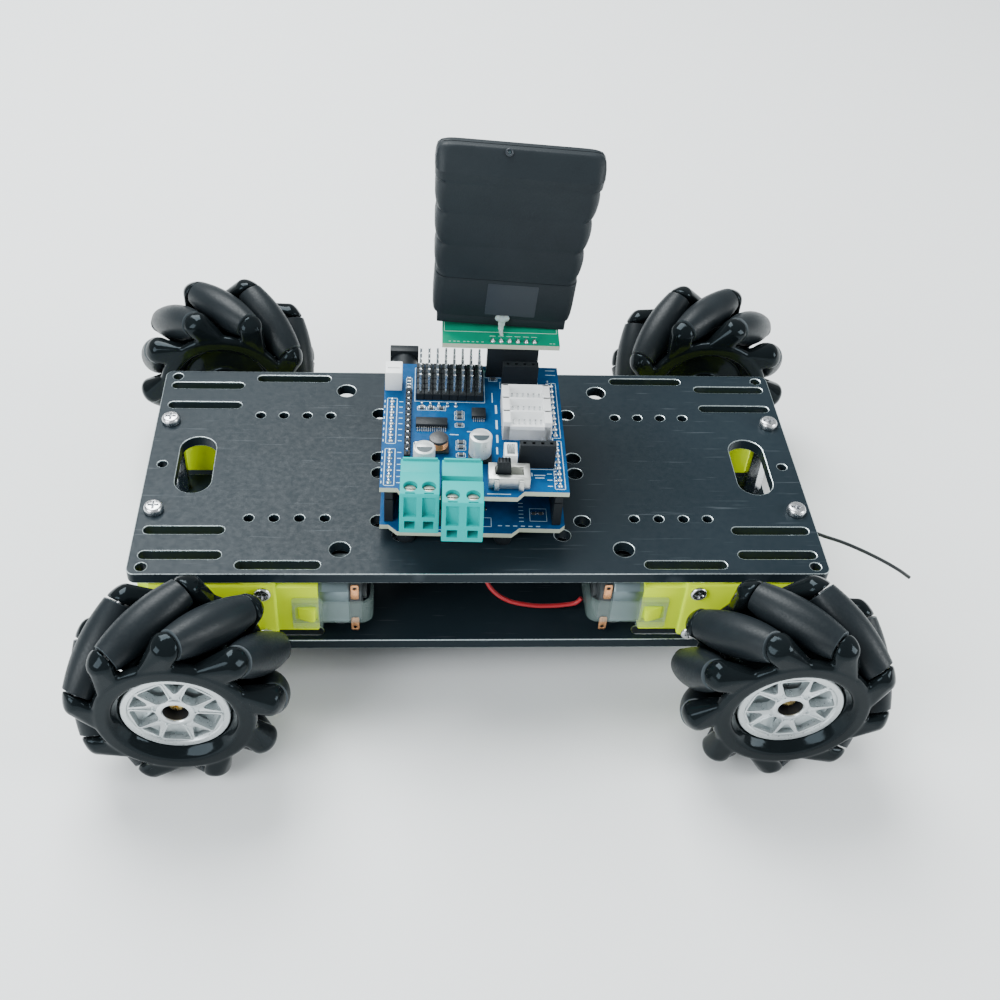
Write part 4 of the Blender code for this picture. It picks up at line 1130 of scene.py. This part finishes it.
def make_shield():
    top = SHIELD_TOP
    low = top - BOARD
    base_low = CONTROLLER_TOP + 8.8
    steel, black, white, printed, ceramic, tan = [], [], [], [], [], []
    add_part("shield_sheet", board_sheet(SHIELD_OUTLINE, top), "mask_blue bare_board", "driver_shield")
    for x, first, count in PIN_ROWS:
        front = first - PITCH / 2 + 0.1
        last = first + (count - 1) * PITCH
        black.append(block((x - 1.2, front, base_low), (x + 1.2, front + count * PITCH - 0.2, low), 0.1, 1))
        steel += pin_row(x, first, count, base_low - 5.5, base_low + 0.5)
        printed += print_frame((x - 1.55, first - 1.5), (x + 1.55, last + 1.5), top)
        for number in range(count):
            y = first + number * PITCH
            steel.append(solder_point(x, y, top))
            if x > 40:
                steel.append(solder_point(x - 1.15, y + 1.1, top, 0.42))
                printed.append(dash(x - 3.5, y - 0.35, x - 2.1, y - 0.1, top))
            else:
                printed.append(dash(x + 2.1, y - 0.3, x + 3.2, y - 0.05, top))
                printed.append(dash(x - 2.3, y - 0.6, x - 2.05, y + 0.4, top))
    # The tall strip of pins beside the left row
    for number in range(12):
        y = 16.5 + number * PITCH
        steel.append(tile(7.4, y, 0.3, 0.3, top, top + 2.6, 0.08, 1))
        black.append(tile(7.4, y, 0.9, 1.15, top, top + 1.3, 0.12, 1))
    # Servo header
    for column in range(8):
        for row in range(6):
            x, y = 10.8 + column * PITCH, 42.67 + row * PITCH
            black.append(tile(x, y, 1.24, 1.24, top, top + 2.5, 0.22, 1))
            steel.append(tile(x, y, 0.32, 0.32, top + 2.0, top + 9.1, 0.12, 1))
    printed += print_frame((9.1, 40.8), (30.4, 57.2), top)
    # Two driver chips with their leads, and a regulator with its tab
    for corners, height, bevel, count, first, pitch, reach in (
        (((9.7, 28.3), (19.0, 31.7)), 1.8, 0.18, 14, 10.25, 0.63, 1.25),
        (((26.2, 32.9), (30.4, 36.9)), 1.6, 0.15, 6, 26.75, 0.62, 0.9),
    ):
        (x0, y0), (x1, y1) = corners
        black.append(block((x0, y0, top + 0.15), (x1, y1, top + height), bevel))
        for number in range(count):
            steel.append(gull_wing(first + number * pitch, y1, top, reach))
            steel.append(gull_wing(first + number * pitch, y0, top, -reach))
    black.append(block((27.2, 21.4, top + 0.15), (31.0, 23.2, top + 1.5), 0.12))
    steel.append(block((26.9, 23.1, top), (31.3, 24.2, top + 0.3), 0.05, 1))
    # Coil
    x, y = 16.45, 20.05
    turns = []
    for level in range(5):
        z = top + 1.15 + level * 0.42
        ring = [(2.0, z - 0.2), (2.5, z - 0.15), (2.62, z), (2.5, z + 0.15), (2.0, z + 0.2), (2.0, z - 0.2)]
        turns.append(moved(lathe(ring, 36), at(x, y, 0.0)))
    add_part("shield_coil", joined(*turns), "copper")
    foot = block((13.5, 17.2, top), (19.4, 22.9, top + 0.9), 0.5)
    add_part("shield_ferrite", joined(foot, post(x, y, top + 3.1, top + 4.1, 2.75, 40, 0.25)), "ferrite")
    # Capacitors with the dark half of their tops
    cans, marks = [], []
    for x, y, radius, height in CAPACITORS:
        cans.append(capacitor_can(x, y, radius, height, top))
        black.append(capacitor_base(x, y, radius, top))
        half_disc = arc((x, y), radius - 0.9, 180, 360, 14)
        marks.append(sheet(half_disc, top + height - 0.02, top + height + 0.04))
    add_part("shield_capacitors", joined(*cans), "can_white")
    add_part("shield_capacitor_marks", joined(*marks), "print_dark")
    for x, y, long, wide, along in SHIELD_CHIPS:
        body, ends = small_chip(x, y, long, wide, top, along)
        (tan if long > 2.1 else ceramic).append(body)
        steel += ends
        reach_x, reach_y = (long / 2 + 0.5, wide / 2 + 0.4) if along else (wide / 2 + 0.4, long / 2 + 0.5)
        printed += print_frame((x - reach_x, y - reach_y), (x + reach_x, y + reach_y), top, 0.18)
    # White connectors
    for front, back in ((24.2, 29.7), (30.2, 35.7), (36.2, 41.7)):
        body, pins = box_connector(front, back, top)
        white.append(body)
        steel += pins
    small = block((35.0, 11.2, top), (38.7, 17.0, top + 5.5), 0.2)
    white.append(carve(small, [block((35.7, 12.0, top + 1.4), (38.0, 16.2, top + 6.5))]))
    for number in range(4):
        steel.append(tile(36.1 + number * 0.55, 14.1, 0.15, 0.2, top + 1.0, top + 7.3))
    tall = block((0.2, 45.6, top), (5.3, 51.5, top + 6.8), 0.25)
    slit = block((0.9, 47.9, top + 1.6), (4.6, 48.5, top + 7.6))
    white.append(carve(tall, [slit, block((0.9, 46.4, top + 1.6), (4.6, 50.7, top + 5.6))]))
    for x in (1.95, 3.55):
        steel.append(tile(x, 48.2, 0.25, 0.2, top + 1.2, top + 5.2, 0.06, 1))
    for x0, y0, x1, y1, height, count in BLACK_SOCKETS:
        black.append(black_socket(x0, y0, x1, y1, height, count, top))
        printed += print_frame((x0 - 0.5, y0 - 0.5), (x1 + 0.5, y1 + 0.5), top)
    for x, y, long, wide in SHIELD_MARKS:
        printed.append(tile(x, y, long / 2, wide / 2, top, top + PRINT))
    for number in range(5):
        steel.append(solder_point(11.4 + number * PITCH, 39.1, top, 0.62))
    # Slide switch
    case = block((30.4, 3.2, top + 0.1), (42.1, 10.0, top + 4.0), 0.2)
    case = carve(case, [block((32.2, 4.9, top + 1.2), (40.3, 8.3, top + 5.0))])
    tabs = [block((x0, 2.5, top), (x1, 3.4, top + 3.6), 0.1, 1) for x0, x1 in ((32.0, 33.4), (38.9, 40.4))]
    add_part("switch_case", joined(case, *tabs), "switch_metal")
    add_part("shield_steel", joined(*steel), "pin_metal", smooth=30)
    for name, parts, finish in (
        ("black", black, "black_part"),
        ("white", white, "white_part"),
        ("print", printed, "print_white"),
        ("ceramic", ceramic, "ceramic"),
        ("tan", tan, "tan_part"),
    ):
        add_part(f"shield_{name}", joined(*parts), finish)
    # Board halves of the two plug-in terminals
    headers, rods = [], []
    for left, right in PLUG_SIDES:
        headers.append(block((left, -2.6, low + 0.2), (right, 4.0, top + 10.0), 0.25))
        headers.append(block((left + 0.5, 3.3, top + 8.2), (right - 0.5, 4.0, top + 10.7), 0.15))
        for x in (left + 2.8, right - 2.8):
            rods.append(bar((x, -8.0, top + 3.6), (x, -2.0, top + 3.6), 0.55, sides=14))
    add_part("terminal_headers", joined(*headers), "turquoise")
    add_part("terminal_pins", joined(*rods), "pin_metal")


def channel(x, start, end):
    """A shallow trough down the slanted face of a plug, as a cutter."""
    along = end - start
    inward = Vector((0.0, -along.z, along.y)).normalized()
    points = []
    for part, deep, narrow in ((0.16, 0.1, 1.0), (0.26, 0.75, 0.86), (0.98, 0.75, 0.86), (1.02, 0.1, 1.0)):
        place = start + along * part
        for side in (-1.75, 1.75):
            points.append(place + inward * deep + Vector((x + side * narrow, 0.0, 0.0)))
            points.append(place - inward + Vector((x + side, 0.0, 0.0)))
    return hull(points)


def make_plug(name, sides, back, front):
    """A plug-in screw terminal, between its back and the bottom of its slanted front."""
    left, right = sides
    low = SHIELD_TOP + 0.5
    top = SHIELD_TOP + 11.5
    hole_z = SHIELD_TOP + 3.6
    step = back - 8.5
    screw_y = step + 3.0
    outline = [(back, low), (back, top), (step, top)]
    outline += [(front + 1.4, low + 5.2), (front, low + 4.6), (front, low)]
    body = bevelled(hull([(x, y, z) for x in (left, right) for y, z in outline]), 0.22)
    cutters = []
    screws = []
    for x in (left + 2.8, right - 2.8):
        cutters.append(post(x, screw_y, top - 2.2, top + 1.0, 1.95, 28))
        cutters.append(block((x - 1.4, front - 1.0, low + 1.6), (x + 1.4, front + 6.0, low + 4.4)))
        cutters.append(channel(x, Vector((0.0, step, top)), Vector((0.0, front + 1.4, low + 5.2))))
        cutters.append(block((x - 1.3, step + 0.1, top - 0.9), (x + 1.3, step + 0.5, top + 0.5)))
        cutters.append(bar((x, back + 1.0, hole_z), (x, back - 6.0, hole_z), 0.95, sides=14))
        head = post(x, screw_y, top - 3.6, top - 1.15, 1.8, 28, 0.25)
        screws.append(carve(head, [tile(x, screw_y, 1.9, 0.25, top - 1.75, top + 0.5)]))
        screws.append(block((x - 1.3, front + 3.4, low + 1.7), (x + 1.3, front + 3.9, low + 4.3)))
    add_part(name + "_body", carve(body, cutters), "turquoise", name)
    add_part(name + "_screws", joined(*screws), "screw_grey")


def make_knob():
    top = SHIELD_TOP
    foot = [(x, y, top + 4.3) for x in (32.5, 36.8) for y in (5.2, 8.0)]
    grip = hull(foot + [(x, y, top + 8.0) for x in (32.9, 36.4) for y in (5.5, 7.7)])
    ridges = [block((x, 5.35, top + 5.0), (x + 0.3, 7.85, top + 8.0)) for x in (33.1, 34.0, 34.9, 35.8)]
    stem = block((32.6, 5.3, top + 1.5), (36.7, 7.9, top + 5.0))
    parts = joined(bevelled(grip, 0.2), stem, *ridges)
    piece("knob_grip", parts, "black_part", "switch_knob", "switch_knob", STACK)


def make_adapter():
    top = ADAPTER_LOW + BOARD
    add_part("adapter_sheet", board_sheet(ADAPTER_OUTLINE, top), "mask_green bare_board", "receiver_adapter")
    pads = []
    printed = print_frame((17.6, 59.3), (52.2, 74.0), top)
    for number in range(6):
        x, y = 38.7 + (number - 2.5) * PITCH, 54.8
        drop = circle(x, y, 0.85, 18)[9:] + [(x + 0.85, y), (x + 0.3, 56.2), (x, 56.7), (x - 0.3, 56.2)]
        pads.append(sheet(drop, top - 0.02, top + 0.12, (), 0.04))
        pads.append(solder_point(x, y, top, 0.7))
        pads.append(tile(x, y, 0.32, 0.32, ADAPTER_LOW - 6.0, ADAPTER_LOW + 0.5, 0.08, 1))
        printed.append(dash(x - 0.9, 57.3, x + 0.9, 57.5, top))
    for x in (19.0, 20.4, 21.6, 23.4, 24.6, 26.0, 27.3, 28.9, 49.6, 50.6):
        printed.append(dash(x, 54.2, x + 0.7, 54.45, top))
    add_part("adapter_pads", joined(*pads), "pin_metal")
    add_part("adapter_print", joined(*printed), "print_pale")


# Receiver -------------------------------------------------------------------------------------

RECEIVER = STACK @ at(34.8, 67.2, 79.6) @ turned(3.0, "Y")
CASE_LOW = 16.9
CASE_HIGH = 50.6
CASE_LEVELS = 56
LUMP_FIRST = 17.6
LUMP_PITCH = 10.15
LUMP_COUNT = 3
SEAM_HALF = 0.22
SEAM_DEPTH = 0.28
# Height, how much narrower, and half depth
CASE_TOP = (
    (50.9, 0.0, 7.0),
    (53.4, 0.1, 5.1),
    (55.3, 0.4, 3.6),
    (56.4, 1.2, 2.7),
    (56.9, 2.3, 2.2),
    (57.08, 4.0, 1.9),
)
# Height, half width and half depth of the receiver's plug end
PLUG_RINGS = (
    (3.05, 20.6, 6.2),
    (3.25, 20.9, 6.5),
    (5.0, 21.2, 6.7),
    (8.0, 21.35, 6.75),
    (16.2, 21.45, 6.75),
    (16.55, 21.3, 6.6),
    (16.6, 20.6, 6.2),
    (17.2, 20.6, 6.2),
)
LED_RING = [
    (0.65, 0.0),
    (0.65, 0.35),
    (0.8, 0.45),
    (1.0, 0.45),
    (1.15, 0.3),
    (1.15, -0.6),
    (0.65, -0.6),
    (0.65, 0.0),
]
LED_LENS = [(0.0, 0.2), (0.4, 0.15), (0.64, 0.0), (0.64, -0.3), (0.0, -0.3)]
# Place and radius of the balls that the glue drop is made from
GLUE_BALLS = (
    (0.2, -6.9, 3.0, 1.3),
    (-1.1, -6.8, 3.3, 1.0),
    (1.4, -6.8, 3.4, 1.0),
    (0.1, -7.2, 1.6, 1.1),
    (0.0, -7.8, 0.4, 0.9),
    (0.1, -8.8, -0.3, 0.75),
    (0.3, -9.8, -0.6, 0.6),
)


def receiver_section(z, half_width, half_depth, corner):
    """One level of the case: a rectangle with deep rounded corners and a thin seam round its middle."""
    points = []
    steps = 7
    flat = min(2.5, half_depth * 0.5)
    for side_x, side_y, start in ((1, 1, 0), (-1, 1, 90), (-1, -1, 180), (1, -1, 270)):
        for step in range(steps + 1):
            turn = math.radians(start + 90 * step / steps)
            x = side_x * (half_width - corner) + corner * math.cos(turn)
            points.append(Vector((x, side_y * flat + (half_depth - flat) * math.sin(turn), z)))
        if side_x * side_y < 0:
            for y, depth in ((-side_x * SEAM_HALF, 0.0), (0.0, SEAM_DEPTH), (side_x * SEAM_HALF, 0.0)):
                points.append(Vector((side_x * (half_width - depth), y, z)))
    return points


def receiver_case():
    body = []
    for step in range(CASE_LEVELS + 1):
        z = CASE_LOW + step * (CASE_HIGH - CASE_LOW) / CASE_LEVELS
        place = (z - LUMP_FIRST) / LUMP_PITCH
        lump = -0.5 if place < 0 else 0.0
        if 0 <= place < LUMP_COUNT:
            lump = -1.3 * (1 - math.sin(math.pi * (place % 1.0)) ** 0.45)
        width = 21.7 + (z - 16.5) * 2.75 / 39
        body.append(receiver_section(z, width + lump - 0.05, 7.0, 3.4))
    body += [receiver_section(z, 24.15 - shrink, depth, 3.4) for z, shrink, depth in CASE_TOP]
    upper = carve(loft(body), [block((-30, -0.16, 56.6), (30, 0.16, 58.2))])
    plug = loft([receiver_section(*ring, 3.0) for ring in PLUG_RINGS])
    return joined(upper, plug, block((-19.6, -6.2, 0.0), (19.6, 6.2, 3.4), 0.35))


def make_receiver():
    def add(name, bm, finish, replaces=None, smooth=35.0):
        piece(name, bm, finish, replaces, place=RECEIVER, smooth=smooth)

    add("receiver_case", receiver_case(), "charcoal", "wireless_receiver", 28.0)
    label = sheet(rounded_rectangle((-5.4, 4.4), (9.8, 15.4), 0.4), 6.74, 6.82)
    add("receiver_label", moved(label, turned(90, "X")), "label_grey")
    tilt = at(-3.8, -2.75, 56.3) @ turned(50, "X")
    add("receiver_ring", moved(lathe(LED_RING, 28), tilt), "label_grey")
    add("receiver_lens", moved(lathe(LED_LENS, 20), tilt), "print_dark")
    balls = []
    for x, y, z, radius in GLUE_BALLS:
        ball = bmesh.new()
        bmesh.ops.create_icosphere(ball, subdivisions=3, radius=radius, matrix=at(x, y, z))
        balls.append(ball)
    add("glue_drop", remeshed(joined(*balls), 0.2, 3), "glue", smooth=80)


# Leads ----------------------------------------------------------------------------------------

RED_DIAMETER = 1.35
RED_LEAD_ROUTE = (
    (30.8, -35.9, 25.2),
    (28.8, -36.0, 23.0),
    (22.0, -36.0, 21.9),
    (15.6, -36.0, 22.2),
    (8.6, -35.8, 24.2),
    (3.4, -35.0, 28.6),
    (0.6, -32.6, 34.4),
    (-1.6, -28.6, 38.4),
    (-4.6, -24.6, 41.2),
    (-6.0, -23.0, 45.0),
    (-6.2, -22.8, 49.2),
)
BLACK_DIAMETER = 1.1
BLACK_LEAD_ROUTE = (
    (70.0, -6.0, 36.5),
    (77.0, -7.4, 37.4),
    (84.0, -9.4, 37.8),
    (91.0, -12.6, 37.8),
    (98.0, -16.4, 37.2),
    (105.6, -20.0, 36.2),
    (112.0, -22.3, 35.4),
    (118.0, -24.8, 34.2),
    (124.0, -27.2, 32.4),
    (129.0, -29.2, 30.4),
    (132.6, -30.6, 28.4),
)


def smooth_route(points, steps=8):
    """Points along a smooth curve through the given ones."""
    points = [Vector(point) for point in points]
    ends = [2 * points[0] - points[1], *points, 2 * points[-1] - points[-2]]
    fine = []
    for before, start, end, after in zip(ends, ends[1:], ends[2:], ends[3:]):
        for step in range(steps):
            t = step / steps
            bend = (2 * before - 5 * start + 4 * end - after) * t**2
            turn = (3 * start - before - 3 * end + after) * t**3
            fine.append(0.5 * (2 * start + (end - before) * t + bend + turn))
    return fine + [points[-1]]


def make_lead(name, route, diameter, finish, replaces):
    """A lead along a route, in millimetres; gives its object and its length."""
    points = smooth_route(route)
    curve = bpy.data.curves.new(name, "CURVE")
    curve.dimensions = "3D"
    curve.bevel_depth = diameter / 2 * MM
    curve.bevel_resolution = 5
    curve.use_fill_caps = True
    spline = curve.splines.new("POLY")
    spline.points.add(len(points) - 1)
    for point, place in zip(spline.points, points):
        point.co = (*(place * MM), 1.0)
    spline.use_smooth = True
    curve.materials.append(MATERIALS[finish])
    lead = new_object(name, curve)
    settle(lead, "chassis", replaces)
    return lead, sum((second - first).length for first, second in zip(points, points[1:]))


def make_leads():
    make_lead("lead_red", RED_LEAD_ROUTE, RED_DIAMETER, "red_lead", "red_lead")
    free, length = make_lead("lead_black", BLACK_LEAD_ROUTE, BLACK_DIAMETER, "black_lead", "black_lead")


make_camera()
make_stage()
make_plates()
make_standoffs()
make_wheels()
make_gearmotors()
make_controller()
make_shield()
make_plug("terminal_plug_left", PLUG_SIDES[0], -3.0, -15.2)
make_plug("terminal_plug_right", PLUG_SIDES[1], -6.0, -18.2)
make_knob()
make_adapter()
make_receiver()
make_leads()
